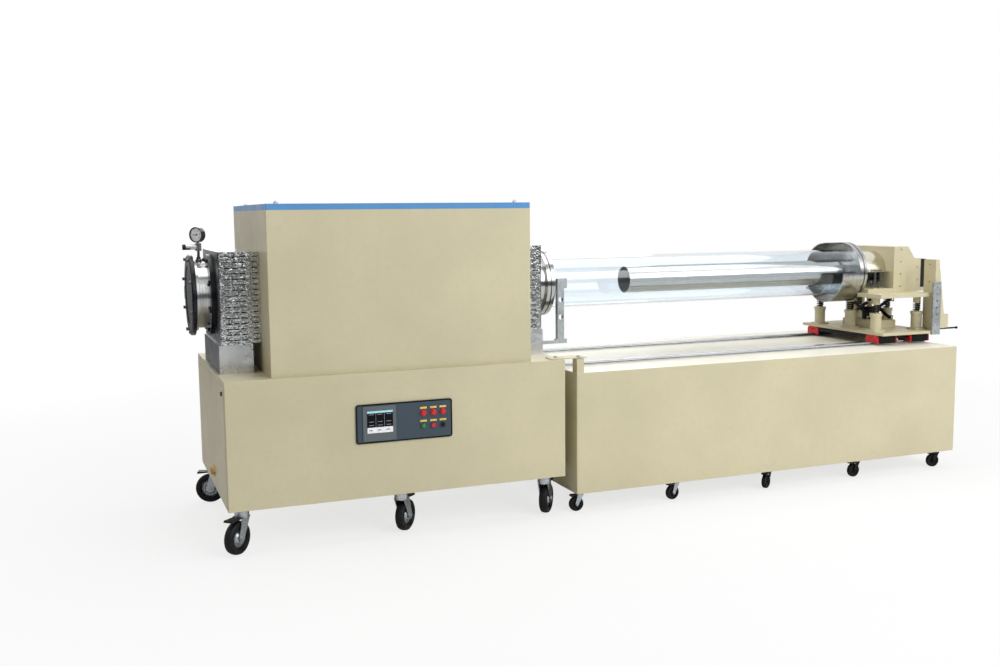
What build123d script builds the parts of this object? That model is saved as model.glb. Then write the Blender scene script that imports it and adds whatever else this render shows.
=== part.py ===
"""Three-zone tube furnace docked to a loading table with a sliding tube carriage.

Frame: +X runs along the tube from the furnace door to the far end of the loading table, +Y points
away from the operator and +Z up. The origin is on the floor under the middle of the whole machine.
All sizes are millimetres.
"""
import os
from math import cos, radians, sin

from build123d import *

os.makedirs("parts", exist_ok=True)

# ---------------------------------------------------------------- driving dimensions
# Clearances
seat_gap = 0.3          # between curved faces of pieces that can part
pin_gap = 0.05          # radial clearance of a shaft in its bore
slide_gap = 0.3         # per side, on sliding pieces

# Furnace base cabinet
base_length = 1615.0
base_depth = 1060.0
base_height = 575.0
base_wall = 2.5
base_wheel_radius = 75.0
base_caster_height = 204.0

# Hood over the heated zone
hood_length = 1238.0
hood_from_base_end = 206.0
hood_setback = 22.0
hood_height = 732.0
hood_wall = 2.0
lid_height = 27.0

# Tubes, all on one axis
tube_axis_height = 1121.0
process_radius = 150.0
process_wall = 8.0
quartz_radius = 134.0
quartz_wall = 5.0
carrier_radius = 73.0
carrier_wall = 4.0
carrier_length = 1487.0
flange_bore = 143.0
flange_body_radius = 155.0

# End guards between hood and flanges
neck_length = 41.0
left_guard_length = 140.0
right_guard_length = 105.0
guard_width = 590.0
guard_height = 549.0
skirt_height = 128.0
guard_wall = 2.0
end_plate = 3.0

# Loading table
table_gap = 63.0
table_length = 2409.0
table_depth = 1060.0
table_height = 604.0
table_wall = 2.5
table_wheel_radius = 37.5
table_caster_height = 104.0
rail_width = 45.0
rail_height = 20.0
rail_spacing = 530.0

# Carriage
carriage_travel = 1700.0
plate_length = 387.0
plate_width = 726.0
plate_thickness = 16.0
plate_lift = 59.0       # underside above the table top
block_length = 140.0
block_width = 100.0
seal_thickness = 8.0

# Sprung lift on the carriage
spring_free_space = 50.0
spring_radius = 21.0
platform_height = 295.0  # top face above the table top
platform_rim = 22.0
platform_width = 680.0
arm_length = 220.0
arm_angle = 30.0
lift_travel = 6.0

# Reach past the cabinets
gauge_from_base_end = 29.0
valve_reach = 71.0
lever_reach = 226.0
control_reach = 20.0

# ---------------------------------------------------------------- derived places
left_reach = gauge_from_base_end + valve_reach
right_reach = base_length + table_gap + table_length + lever_reach
base_left = (left_reach - right_reach) / 2
base_right = base_left + base_length
base_middle = base_left + base_length / 2
base_bottom = base_caster_height
base_top = base_bottom + base_height
base_front = -base_depth / 2

hood_left = base_left + hood_from_base_end
hood_right = hood_left + hood_length
hood_middle = hood_left + hood_length / 2
hood_depth = base_depth - 2 * hood_setback
hood_top = base_top + hood_height

tube_z = tube_axis_height
tube_axis = Axis((0, 0, tube_z), (1, 0, 0))
process_bore = process_radius - process_wall

left_guard_end = hood_left - neck_length - left_guard_length - end_plate
right_guard_end = hood_right + neck_length + right_guard_length + end_plate

table_left = base_right + table_gap
table_right = table_left + table_length
table_middle = table_left + table_length / 2
table_bottom = table_caster_height
table_top = table_bottom + table_height
table_front = -table_depth / 2
rail_side = rail_spacing / 2
rail_top = table_top + rail_height

plate_right = table_right
plate_left = plate_right - plate_length
plate_bottom = table_top + plate_lift
plate_top = plate_bottom + plate_thickness
platform_top = table_top + platform_height
platform_bottom = platform_top - platform_rim
platform_left = plate_left
platform_right = plate_right - 2.0

flange_thickness = 51.0
flange_left = plate_left - 11.0
flange_right = flange_left + flange_thickness


# ---------------------------------------------------------------- helpers
def save(node, *pieces):
    """Label the finished pieces as one named node and write its STEP file."""
    part = pieces[0] if len(pieces) == 1 else Compound(children=list(pieces))
    part.label = node
    export_step(part, f"parts/{node}.step")


def block(x0, x1, y0, y1, z0, z1, mode=Mode.ADD):
    """A rectangular block between two corners, in the current part."""
    with BuildSketch(Plane.XY.offset(z0)) as outline:
        with Locations(((x0 + x1) / 2, (y0 + y1) / 2)):
            Rectangle(x1 - x0, y1 - y0)
    extrude(outline.sketch, amount=z1 - z0, mode=mode)


def side_profile(points, y0, y1, mode=Mode.ADD):
    """An (x, z) outline carried across the machine from y0 to y1."""
    with BuildSketch(Plane.XZ.offset(-y0)) as outline:
        with BuildLine():
            Polyline(*points, close=True)
        make_face()
    extrude(outline.sketch, amount=y0 - y1, mode=mode)


def end_profile(points, x0, x1, mode=Mode.ADD):
    """A (y, z) outline carried along the machine from x0 to x1."""
    with BuildSketch(Plane.YZ.offset(x0)) as outline:
        with BuildLine():
            Polyline(*points, close=True)
        make_face()
    extrude(outline.sketch, amount=x1 - x0, mode=mode)


def turned(points, mode=Mode.ADD):
    """An (x, radius) outline turned about the tube axis."""
    with BuildSketch(Plane.XZ) as outline:
        with BuildLine():
            Polyline(*[(x, tube_z + radius) for x, radius in points], close=True)
        make_face()
    revolve(outline.sketch, axis=tube_axis, mode=mode)


def rod(plane, length, radius, mode=Mode.ADD):
    """A round bar that starts on the plane and follows its normal."""
    with BuildSketch(plane) as outline:
        Circle(radius)
    extrude(outline.sketch, amount=length, mode=mode)


def along_x(x, y, z, length, radius, mode=Mode.ADD):
    rod(Plane(origin=(x, y, z), x_dir=(0, 1, 0), z_dir=(1, 0, 0)), length, radius, mode)


def along_y(x, y, z, length, radius, mode=Mode.ADD):
    rod(Plane(origin=(x, y, z), x_dir=(1, 0, 0), z_dir=(0, 1, 0)), length, radius, mode)


def along_z(x, y, z, length, radius, mode=Mode.ADD):
    rod(Plane(origin=(x, y, z)), length, radius, mode)


def hex_heads(plane, places, across_flats, height):
    """Hexagon heads that stand on a plane at the given places."""
    with BuildPart() as heads:
        with BuildSketch(plane):
            with Locations(*places):
                RegularPolygon(across_flats / 2, 6, major_radius=False)
        extrude(amount=height)
    return heads.part


def on_circle(radius, count, start=0.0):
    """Evenly spaced (u, v) places on a circle."""
    turns = [radians(start + 360 * i / count) for i in range(count)]
    return [(radius * cos(t), radius * sin(t)) for t in turns]


# ---------------------------------------------------------------- furnace base cabinet
side_panel_inset = 14.0
side_panel_thickness = 1.5
side_panel_top_inset = 30.0
lock_from_front = 70.0
lock_drop = 61.0
gland_height = 290.0

with BuildPart() as cabinet_shell:
    with BuildSketch(Plane.XY.offset(base_bottom)):
        with Locations((base_middle, 0)):
            RectangleRounded(base_length, base_depth, 4.0)
    extrude(amount=base_height)
    block(base_left + base_wall, base_right - base_wall, base_front + base_wall, -base_front - base_wall,
          base_bottom + base_wall, base_top - base_wall, mode=Mode.SUBTRACT)

side_panels = []
for face_x, outward in ((base_left, -1), (base_right, 1)):
    with BuildPart() as side_panel:
        with BuildSketch(Plane(origin=(face_x, 0, base_bottom), x_dir=(0, 1, 0), z_dir=(1, 0, 0))):
            with Locations((0, (side_panel_inset + base_height - side_panel_top_inset) / 2)):
                RectangleRounded(base_depth - 2 * side_panel_inset,
                                 base_height - side_panel_top_inset - side_panel_inset, 6.0)
        extrude(amount=outward * side_panel_thickness)
    side_panels.append(side_panel.part)

with BuildPart() as panel_lock:
    along_x(base_left - side_panel_thickness, base_front + lock_from_front, base_top - lock_drop, -6.0, 10.0)

with BuildPart() as cable_gland:
    with BuildSketch(Plane(origin=(base_left - side_panel_thickness, -60.0, gland_height),
                           x_dir=(0, 1, 0), z_dir=(-1, 0, 0))):
        RegularPolygon(24.0, 6, major_radius=False)
    extrude(amount=7.0)
    along_x(base_left - side_panel_thickness - 7.0, -60.0, gland_height, -12.0, 20.0)
    along_x(base_left - side_panel_thickness - 19.0, -60.0, gland_height, 16.0, 14.0, mode=Mode.SUBTRACT)

rear_cover_width = 420.0
rear_cover_height = 240.0
rear_cover_louvres = 7
with BuildPart() as rear_cover:
    with BuildSketch(Plane.XZ.offset(base_front)):
        with Locations((base_middle, base_bottom + base_height / 2)):
            RectangleRounded(rear_cover_width, rear_cover_height, 12.0)
    extrude(amount=-control_reach)
    with BuildSketch(Plane.XZ.offset(base_front - control_reach)):
        with Locations((base_middle, base_bottom + base_height / 2)):
            with GridLocations(0, 26.0, 1, rear_cover_louvres):
                SlotOverall(rear_cover_width - 80.0, 9.0)
    extrude(amount=6.0, mode=Mode.SUBTRACT)

save("base_cabinet", cabinet_shell.part, *side_panels, panel_lock.part, cable_gland.part, rear_cover.part)


# ---------------------------------------------------------------- casters
class CasterSize:
    """The sizes of one kind of swivel caster, from the cabinet's underside down to the floor."""

    def __init__(self, height, wheel_radius, wheel_width, trail, pin_radius):
        self.height = height
        self.wheel_radius = wheel_radius
        self.wheel_width = wheel_width
        self.trail = trail
        self.pin_radius = pin_radius
        self.plate_thickness = 5.0
        self.plate_length = 2.9 * trail
        self.plate_width = 2.4 * trail
        self.race_radius = 0.85 * trail
        self.leg_thickness = 0.05 * wheel_radius + 1.0
        self.leg_gap = wheel_width / 2 + 2.5
        self.head_height = 0.09 * wheel_radius
        self.crown_thickness = self.leg_thickness + 1.0
        self.race_bottom = wheel_radius * 2 + 4.0 + self.head_height + seat_gap + self.crown_thickness
        self.axle_radius = 0.08 * wheel_radius


base_caster = CasterSize(base_caster_height, base_wheel_radius, 40.0, 38.0, 7.0)
table_caster = CasterSize(table_caster_height, table_wheel_radius, 24.0, 21.0, 4.0)

# Kingpin places and the direction each wheel trails in, in degrees from +X
base_caster_x = (base_left + 66.0, base_left + 800.0, base_left + 1534.0)
base_caster_y = 452.0
base_swivels = (225.0, 47.0, 51.0, 165.0, -35.0, -130.0)
table_caster_x = tuple(table_left + offset for offset in (48.0, 600.0, 1175.0, 1770.0, 2345.0))
table_caster_y = 462.0
table_swivels = (176.0, 188.0, 212.0, 184.0, 172.0, -20.0, -110.0, -75.0, -35.0, -95.0)

base_caster_places = [(x, side * base_caster_y) for side in (-1, 1) for x in base_caster_x]
table_caster_places = [(x, side * table_caster_y) for side in (-1, 1) for x in table_caster_x]


def caster_mount(size):
    """Top plate, raceway and kingpin, which stay still. The kingpin is at the origin."""
    plate_bottom_z = size.height - size.plate_thickness
    crown_bottom = size.race_bottom - seat_gap - size.crown_thickness
    with BuildPart() as mount:
        with BuildSketch(Plane.XY.offset(plate_bottom_z)):
            RectangleRounded(size.plate_length, size.plate_width, 6.0)
        extrude(amount=size.plate_thickness)
        along_z(0, 0, size.race_bottom, plate_bottom_z - size.race_bottom, size.race_radius)
        along_z(0, 0, crown_bottom - seat_gap, size.race_bottom - crown_bottom + seat_gap, size.pin_radius)
        with BuildSketch(Plane.XY.offset(crown_bottom - seat_gap)):
            RegularPolygon(1.7 * size.pin_radius, 6, major_radius=False)
        extrude(amount=-size.head_height)
    return mount.part


def caster_fork(size):
    """Swivelling fork with its axle and brake pedal. The wheel trails towards +X."""
    crown_top = size.race_bottom - seat_gap
    crown_bottom = crown_top - size.crown_thickness
    eye = 0.24 * size.wheel_radius
    half_crown = size.race_radius
    with BuildPart() as fork:
        along_z(0, 0, crown_bottom, size.crown_thickness, size.race_radius)
        with BuildSketch(Plane.XY.offset(crown_bottom)):
            Rectangle(1.5 * half_crown, 2 * (size.leg_gap + size.leg_thickness))
        extrude(amount=size.crown_thickness)
        for side in (-1, 1):
            inner = side * size.leg_gap
            with BuildSketch(Plane.XZ.offset(-inner)):
                with BuildLine():
                    Polyline((-0.75 * half_crown, crown_top), (0.95 * half_crown, crown_top),
                             (size.trail + eye, size.wheel_radius + 0.3 * eye),
                             (size.trail + 0.45 * eye, size.wheel_radius - 0.9 * eye),
                             (size.trail - 0.45 * eye, size.wheel_radius - 0.9 * eye),
                             (size.trail - eye, size.wheel_radius), close=True)
                make_face()
            extrude(amount=-side * size.leg_thickness)
            along_y(size.trail, inner, size.wheel_radius, side * (size.leg_thickness + 5.0),
                    1.7 * size.axle_radius)
        along_y(size.trail, -size.leg_gap, size.wheel_radius, 2 * size.leg_gap, size.axle_radius)
        along_z(0, 0, crown_bottom, size.crown_thickness, size.pin_radius + pin_gap, mode=Mode.SUBTRACT)
    pedal_top = crown_top - 1.0
    pedal_inner = half_crown + seat_gap
    reach = 1.05 * size.wheel_radius + 0.5 * size.trail
    with BuildPart() as pedal:
        with BuildSketch(Plane.XZ.offset(size.leg_gap)):
            with BuildLine():
                Polyline((pedal_inner, pedal_top), (reach, pedal_top + 1.0), (reach + 4.0, pedal_top - 7.0),
                         (reach - 3.0, pedal_top - 9.0), (pedal_inner, pedal_top - 5.0), close=True)
            make_face()
        extrude(amount=-2 * size.leg_gap)
    return [fork.part, pedal.part]


def caster_wheel(size):
    """Tyre and hub on the axle of the fork."""
    half = size.wheel_width / 2
    rim = 0.74 * size.wheel_radius
    bore = size.axle_radius + pin_gap
    boss = 0.3 * size.wheel_radius
    dish = 0.22 * size.wheel_width
    spin_axis = Axis((size.trail, 0, size.wheel_radius), (0, 1, 0))
    with BuildPart() as tyre:
        with BuildSketch(Plane.YZ.offset(size.trail)):
            with BuildLine():
                tread = Polyline((-0.8 * half, size.wheel_radius + 0.96 * size.wheel_radius),
                                 (-half, size.wheel_radius + 0.88 * size.wheel_radius),
                                 (-half, size.wheel_radius + rim), (half, size.wheel_radius + rim),
                                 (half, size.wheel_radius + 0.88 * size.wheel_radius),
                                 (0.8 * half, size.wheel_radius + 0.96 * size.wheel_radius))
                ThreePointArc(tread @ 1, (0, 2 * size.wheel_radius), tread @ 0)
            make_face()
        revolve(axis=spin_axis)
    with BuildPart() as hub:
        with BuildSketch(Plane.YZ.offset(size.trail)):
            with BuildLine():
                Polyline(*[(y, size.wheel_radius + r) for y, r in (
                    (-half, rim), (-half, 0.9 * rim), (-half + dish, 0.82 * rim), (-half + dish, 1.3 * boss),
                    (-half, boss), (-half, bore), (half, bore), (half, boss), (half - dish, 1.3 * boss),
                    (half - dish, 0.82 * rim), (half, 0.9 * rim), (half, rim))], close=True)
            make_face()
        revolve(axis=spin_axis)
    return [tyre.part, hub.part]


mount_pieces = []
for size, places in ((base_caster, base_caster_places), (table_caster, table_caster_places)):
    mount = caster_mount(size)
    mount_pieces += [mount.moved(Location((x, y, 0))) for x, y in places]
save("caster_mounts", *mount_pieces)

fork_pieces = caster_fork(base_caster)
wheel_pieces = caster_wheel(base_caster)
for i, ((x, y), swivel) in enumerate(zip(base_caster_places, base_swivels), start=1):
    stand = Location((x, y, 0), (0, 0, swivel))
    save(f"base_fork_{i}", *[piece.moved(stand) for piece in fork_pieces])
    save(f"base_wheel_{i}", *[piece.moved(stand) for piece in wheel_pieces])

small_caster_pieces = caster_fork(table_caster) + caster_wheel(table_caster)
for i, ((x, y), swivel) in enumerate(zip(table_caster_places, table_swivels), start=1):
    stand = Location((x, y, 0), (0, 0, swivel))
    save(f"table_caster_{i}", *[piece.moved(stand) for piece in small_caster_pieces])


# ---------------------------------------------------------------- control panel
panel_x = base_left + 801.0
panel_z = base_bottom + 342.0
panel_width = 458.0
panel_height = 180.0
panel_thickness = 6.0
screen_x = base_left + 681.0
screen_housing_width = 155.0
screen_housing_height = 160.0
screen_width = 119.0
screen_height = 92.0
control_columns = (base_left + 890.0, base_left + 938.0, base_left + 984.0)
lamp_row_z = panel_z + 32.0
button_row_z = panel_z - 29.0
button_radius = 10.0
button_collar = 14.0
button_travel = 3.0
panel_face = base_front - panel_thickness

with BuildPart() as panel_plate:
    with BuildSketch(Plane.XZ.offset(-base_front)):
        with Locations((panel_x, panel_z)):
            RectangleRounded(panel_width, panel_height, 14.0)
    extrude(amount=panel_thickness)
    for button_x in control_columns:
        along_y(button_x, panel_face, button_row_z, panel_thickness, button_radius + seat_gap,
                mode=Mode.SUBTRACT)

with BuildPart() as screen_housing:
    with BuildSketch(Plane.XZ.offset(-panel_face)):
        with Locations((screen_x, panel_z)):
            RectangleRounded(screen_housing_width, screen_housing_height, 6.0)
    extrude(amount=5.0)
    with BuildSketch(Plane.XZ.offset(-panel_face + 5.0)):
        with Locations((screen_x, panel_z + 6.0)):
            RectangleRounded(screen_width, screen_height, 2.0)
    extrude(amount=-1.2, mode=Mode.SUBTRACT)

lamps = []
for lamp_x in control_columns:
    with BuildPart() as lamp:
        along_y(lamp_x, panel_face, lamp_row_z, -5.0, button_collar)
        along_y(lamp_x, panel_face - 5.0, lamp_row_z, -7.0, button_radius)
    chamfer(lamp.part.faces().sort_by(Axis.Y)[0].edges(), 2.0)
    lamps.append(lamp.part)

collars = []
for button_x in control_columns:
    with BuildPart() as collar:
        along_y(button_x, panel_face, button_row_z, -5.0, button_collar)
        along_y(button_x, panel_face, button_row_z, -5.0, button_radius + seat_gap, mode=Mode.SUBTRACT)
    collars.append(collar.part)

label_plates = []
for row_z in (lamp_row_z, button_row_z):
    for plate_x in control_columns:
        with BuildPart() as label_plate:
            with BuildSketch(Plane.XZ.offset(-panel_face)):
                with Locations((plate_x, row_z + 23.0)):
                    Rectangle(32.0, 9.0)
            extrude(amount=1.0)
        label_plates.append(label_plate.part)

save("control_panel", panel_plate.part, screen_housing.part, *lamps, *collars, *label_plates)

for node, button_x in (("start_button", control_columns[0]), ("stop_button", control_columns[1])):
    with BuildPart() as button:
        along_y(button_x, base_front - button_travel - 0.5, button_row_z,
                -(panel_thickness + 8.0 - button_travel), button_radius)
        chamfer(button.faces().sort_by(Axis.Y)[0].edges(), 1.5)
    save(node, button.part)

with BuildPart() as selector:
    along_y(control_columns[2], base_front - 0.5, button_row_z, -(panel_thickness + 6.0), button_radius)
    with BuildSketch(Plane.XZ.offset(-base_front + panel_thickness + 6.5)):
        with Locations((control_columns[2], button_row_z)):
            SlotOverall(2 * button_radius + 2.0, 8.0, rotation=90)
    extrude(amount=control_reach - panel_thickness - 6.5)
save("selector_switch", selector.part)


# ---------------------------------------------------------------- hood, lid and hot zone
shell_hole = process_radius + 2.0

with BuildPart() as hood:
    with BuildSketch(Plane.XY.offset(base_top)):
        with Locations((hood_middle, 0)):
            RectangleRounded(hood_length, hood_depth, 3.0)
            Rectangle(hood_length - 2 * hood_wall, hood_depth - 2 * hood_wall, mode=Mode.SUBTRACT)
    extrude(amount=hood_height)
    along_x(hood_left - 1.0, 0, tube_z, hood_length + 2.0, shell_hole, mode=Mode.SUBTRACT)
save("hood_shell", hood.part)

lid_rim_depth = 18.0
lid_nut_inset_x = 55.0
lid_nut_inset_y = 60.0
with BuildPart() as lid:
    with BuildSketch(Plane.XY.offset(hood_top)):
        with Locations((hood_middle, 0)):
            RectangleRounded(hood_length, hood_depth, 4.0)
    extrude(amount=lid_height)
    block(hood_left + hood_wall, hood_right - hood_wall, -hood_depth / 2 + hood_wall,
          hood_depth / 2 - hood_wall, hood_top, hood_top + lid_height - hood_wall, mode=Mode.SUBTRACT)
    rim_length = hood_length - 2 * hood_wall - 2 * slide_gap
    rim_depth = hood_depth - 2 * hood_wall - 2 * slide_gap
    with BuildSketch(Plane.XY.offset(hood_top - lid_rim_depth)):
        with Locations((hood_middle, 0)):
            Rectangle(rim_length, rim_depth)
            Rectangle(rim_length - 2 * hood_wall, rim_depth - 2 * hood_wall, mode=Mode.SUBTRACT)
    extrude(amount=lid_rim_depth + lid_height - hood_wall)
with BuildPart() as lid_nuts:
    with BuildSketch(Plane.XY.offset(hood_top + lid_height)):
        with Locations((hood_middle, 0)):
            with GridLocations(hood_length - 2 * lid_nut_inset_x, hood_depth - 2 * lid_nut_inset_y, 2, 2):
                RegularPolygon(9.0, 6, major_radius=False)
    extrude(amount=8.0)
    with BuildSketch(Plane.XY.offset(hood_top + lid_height + 8.0)):
        with Locations((hood_middle, 0)):
            with GridLocations(hood_length - 2 * lid_nut_inset_x, hood_depth - 2 * lid_nut_inset_y, 2, 2):
                Circle(7.0)
    extrude(amount=6.0, taper=30)
save("hood_lid", lid.part, lid_nuts.part)

insulation_end_gap = 6.0
insulation_half_width = 430.0
heater_bore = 190.0
heater_radius = 212.0
zone_length = 348.0
zone_gap = 10.0
chamber_length = 3 * zone_length + 2 * zone_gap
insulation_left = hood_left + hood_wall + insulation_end_gap
insulation_right = hood_right - hood_wall - insulation_end_gap
insulation_halves = []
for z0, z1 in ((base_top, tube_z), (tube_z, 2 * tube_z - base_top)):
    with BuildPart() as half:
        block(insulation_left, insulation_right, -insulation_half_width, insulation_half_width, z0, z1)
        along_x(insulation_left, 0, tube_z, insulation_right - insulation_left,
                process_radius + seat_gap, mode=Mode.SUBTRACT)
        along_x(hood_middle - chamber_length / 2, 0, tube_z, chamber_length,
                heater_radius + seat_gap, mode=Mode.SUBTRACT)
    insulation_halves.append(half.part)
save("insulation", *insulation_halves)

heater_split_gap = 4.0
heaters = []
for zone in range(3):
    zone_start = hood_middle - chamber_length / 2 + zone * (zone_length + zone_gap)
    for side in (-1, 1):
        with BuildPart() as heater:
            with BuildSketch(Plane.YZ.offset(zone_start + seat_gap)):
                with Locations((0, tube_z)):
                    Circle(heater_radius)
                    Circle(heater_bore, mode=Mode.SUBTRACT)
                with Locations((0, tube_z - side * (heater_radius - heater_split_gap / 2))):
                    Rectangle(2 * heater_radius + 2, 2 * heater_radius, mode=Mode.SUBTRACT)
            extrude(amount=zone_length - 2 * seat_gap)
        heaters.append(heater.part)
save("heating_elements", *heaters)

tube_seat_depth = 18.0
tube_shoulder_gap = 0.3
process_left = left_guard_end - tube_seat_depth + tube_shoulder_gap
process_right = right_guard_end + tube_seat_depth - tube_shoulder_gap
with BuildPart() as process_tube:
    turned([(process_left, process_bore), (process_right, process_bore),
            (process_right, process_radius), (process_left, process_radius)])
save("process_tube", process_tube.part)


# ---------------------------------------------------------------- end guards
neck_inset = 15.0
neck_bottom = base_top + skirt_height + 5.0
neck_top = base_top + guard_height - 3.0
skirt_step = 11.0
window_margin = 9.0
half_guard = guard_width / 2
guard_top = base_top + guard_height


def guard_span(hood_face, outward, near, far):
    """The x range between two distances measured outwards from a hood end wall."""
    return sorted((hood_face + outward * near, hood_face + outward * far))


guard_sides = ((hood_left, -1, left_guard_length), (hood_right, 1, right_guard_length))
guards = []
louvre_panels = []
slot_height = 6.0
slot_pitch = 25.0
slot_length = 26.0
slot_column_pitch = 34.0


def louvre_panel(x0, x1, z0, z1, y_face, outward_y, columns):
    """A flat cover with rows of slots, standing on a wall of the guard."""
    rows = int((z1 - z0 - 2 * window_margin) // slot_pitch) + 1
    with BuildPart() as panel:
        with BuildSketch(Plane.XZ.offset(-y_face)):
            with Locations(((x0 + x1) / 2, (z0 + z1) / 2)):
                Rectangle(x1 - x0, z1 - z0)
                with GridLocations(slot_column_pitch, slot_pitch, columns, rows):
                    Rectangle(slot_length, slot_height, mode=Mode.SUBTRACT)
        extrude(amount=-outward_y * 1.5)
    return panel.part


for hood_face, outward, box_length in guard_sides:
    box_near = neck_length
    box_far = neck_length + box_length
    box_x0, box_x1 = guard_span(hood_face, outward, box_near, box_far)
    skirt_x0, skirt_x1 = guard_span(hood_face, outward, box_near, box_far + skirt_step)
    inner_x0, inner_x1 = guard_span(hood_face, outward, box_near + guard_wall, box_far - guard_wall)
    neck_x0, neck_x1 = guard_span(hood_face, outward, 0, neck_length)
    plate_x0, plate_x1 = guard_span(hood_face, outward, box_far, box_far + end_plate)
    skirt_inner = guard_span(hood_face, outward, box_near + guard_wall, box_far + skirt_step - guard_wall)
    skirt_z = base_top + skirt_height
    with BuildPart() as guard:
        block(box_x0, box_x1, -half_guard, half_guard, skirt_z - guard_wall, guard_top)
        block(skirt_x0, skirt_x1, -half_guard, half_guard, base_top, skirt_z)
        block(inner_x0, inner_x1, -half_guard + guard_wall, half_guard - guard_wall,
              base_top, guard_top - guard_wall, mode=Mode.SUBTRACT)
        block(*skirt_inner, -half_guard + guard_wall, half_guard - guard_wall,
              base_top, skirt_z - guard_wall, mode=Mode.SUBTRACT)
        block(plate_x0, plate_x1, -half_guard, half_guard, skirt_z, guard_top)
        block(neck_x0, neck_x1, -half_guard + neck_inset, half_guard - neck_inset, neck_bottom, neck_top)
        block(*guard_span(hood_face, outward, -1, box_near + guard_wall + 1),
              -half_guard + neck_inset + guard_wall, half_guard - neck_inset - guard_wall,
              neck_bottom + guard_wall, neck_top - guard_wall, mode=Mode.SUBTRACT)
        block(box_x0 + window_margin, box_x1 - window_margin, -half_guard - 1, half_guard + 1,
              skirt_z + window_margin, guard_top - window_margin, mode=Mode.SUBTRACT)
        block(neck_x0 + window_margin, neck_x1 - window_margin, -half_guard, half_guard,
              neck_bottom + window_margin, neck_top - window_margin, mode=Mode.SUBTRACT)
        along_x(plate_x0 - 1, 0, tube_z, end_plate + 2, shell_hole, mode=Mode.SUBTRACT)
        along_x(min(box_x0, plate_x0) - 1, 0, tube_z, box_length + end_plate + 2, shell_hole,
                mode=Mode.SUBTRACT)
    guards.append(guard.part)
    for side in (-1, 1):
        columns = int((box_length - 6.0) // slot_column_pitch)
        louvre_panels.append(louvre_panel(box_x0 + 2, box_x1 - 2, skirt_z + 2, guard_top - 2,
                                          side * half_guard, side, columns))
        louvre_panels.append(louvre_panel(neck_x0 + 1, neck_x1 - 1, neck_bottom + 2, neck_top - 2,
                                          side * (half_guard - neck_inset), side, 1))
save("tube_guards", *guards)
save("guard_louvres", *louvre_panels)


# ---------------------------------------------------------------- flanges at the furnace ends
mount_ring_radius = 190.0
mount_ring_thickness = 20.0
door_ring_radius = 168.0
door_ring_thickness = 12.0
left_body_length = 62.0
flange_bolt_circle = 173.0
left_face = left_guard_end - mount_ring_thickness - left_body_length
hinge_y = 205.0
hinge_pin_radius = 6.0
hinge_knuckle_radius = 12.0
hinge_x = left_face + 4.0
hinge_lug_height = 26.0
hinge_arm_height = 60.0

with BuildPart() as left_flange:
    seat_end = left_guard_end - tube_seat_depth
    turned([(left_face, flange_bore), (seat_end, flange_bore), (seat_end, process_radius + seat_gap),
            (left_guard_end, process_radius + seat_gap), (left_guard_end, mount_ring_radius),
            (left_guard_end - mount_ring_thickness, mount_ring_radius),
            (left_guard_end - mount_ring_thickness, flange_body_radius),
            (left_face + door_ring_thickness, flange_body_radius),
            (left_face + door_ring_thickness, door_ring_radius), (left_face, door_ring_radius)])
    for side in (-1, 1):
        lug_z0 = tube_z + side * (hinge_arm_height / 2 + seat_gap)
        lug_z1 = lug_z0 + side * hinge_lug_height
        block(left_face + 1.0, left_face + door_ring_thickness, flange_body_radius - 4.0, hinge_y,
              min(lug_z0, lug_z1), max(lug_z0, lug_z1))
        along_z(hinge_x + 3.0, hinge_y, min(lug_z0, lug_z1), hinge_lug_height, hinge_knuckle_radius)
    along_x(left_face - 1, 0, tube_z, left_body_length, flange_bore, mode=Mode.SUBTRACT)
    along_z(hinge_x + 3.0, hinge_y, tube_z - hinge_arm_height / 2 - hinge_lug_height,
            hinge_arm_height + 2 * hinge_lug_height, hinge_pin_radius)
    with Locations((base_left - gauge_from_base_end, 0, tube_z + flange_body_radius + 4.0)):
        Cylinder(14.0, 16.0)

left_bolts = hex_heads(Plane(origin=(left_guard_end - mount_ring_thickness, 0, tube_z), x_dir=(0, 1, 0),
                             z_dir=(-1, 0, 0)), on_circle(flange_bolt_circle, 8, 22.5), 17.0, 9.0)
save("left_flange", left_flange.part, left_bolts)

right_body_length = 92.0
clamp_ring_radius = 173.0
clamp_ring_thickness = 19.5
clamp_groove = 6.0
mount_plate_radius = 184.0
mount_plate_thickness = 8.0
right_face = right_guard_end + right_body_length
with BuildPart() as right_flange:
    seat_end = right_guard_end + tube_seat_depth
    ring_1 = right_face + clamp_ring_thickness
    ring_2 = ring_1 + clamp_groove
    right_flange_face = ring_2 + clamp_ring_thickness
    turned([(right_guard_end, process_radius + seat_gap), (seat_end, process_radius + seat_gap),
            (seat_end, flange_bore), (right_flange_face, flange_bore),
            (right_flange_face, clamp_ring_radius), (ring_2, clamp_ring_radius),
            (ring_2, clamp_ring_radius - 12.0), (ring_1, clamp_ring_radius - 12.0),
            (ring_1, clamp_ring_radius), (right_face, clamp_ring_radius), (right_face, flange_body_radius),
            (right_guard_end + mount_plate_thickness, flange_body_radius),
            (right_guard_end + mount_plate_thickness, mount_plate_radius),
            (right_guard_end, mount_plate_radius)])
right_bolts = hex_heads(Plane(origin=(right_guard_end + mount_plate_thickness, 0, tube_z), x_dir=(0, 1, 0),
                              z_dir=(1, 0, 0)), on_circle(170.0, 8, 22.5), 13.0, 7.0)
face_bolts = hex_heads(Plane(origin=(right_flange_face, 0, tube_z), x_dir=(0, 1, 0), z_dir=(1, 0, 0)),
                       on_circle(158.0, 8, 22.5), 12.0, 5.0)
save("right_flange", right_flange.part, right_bolts, face_bolts)

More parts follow.
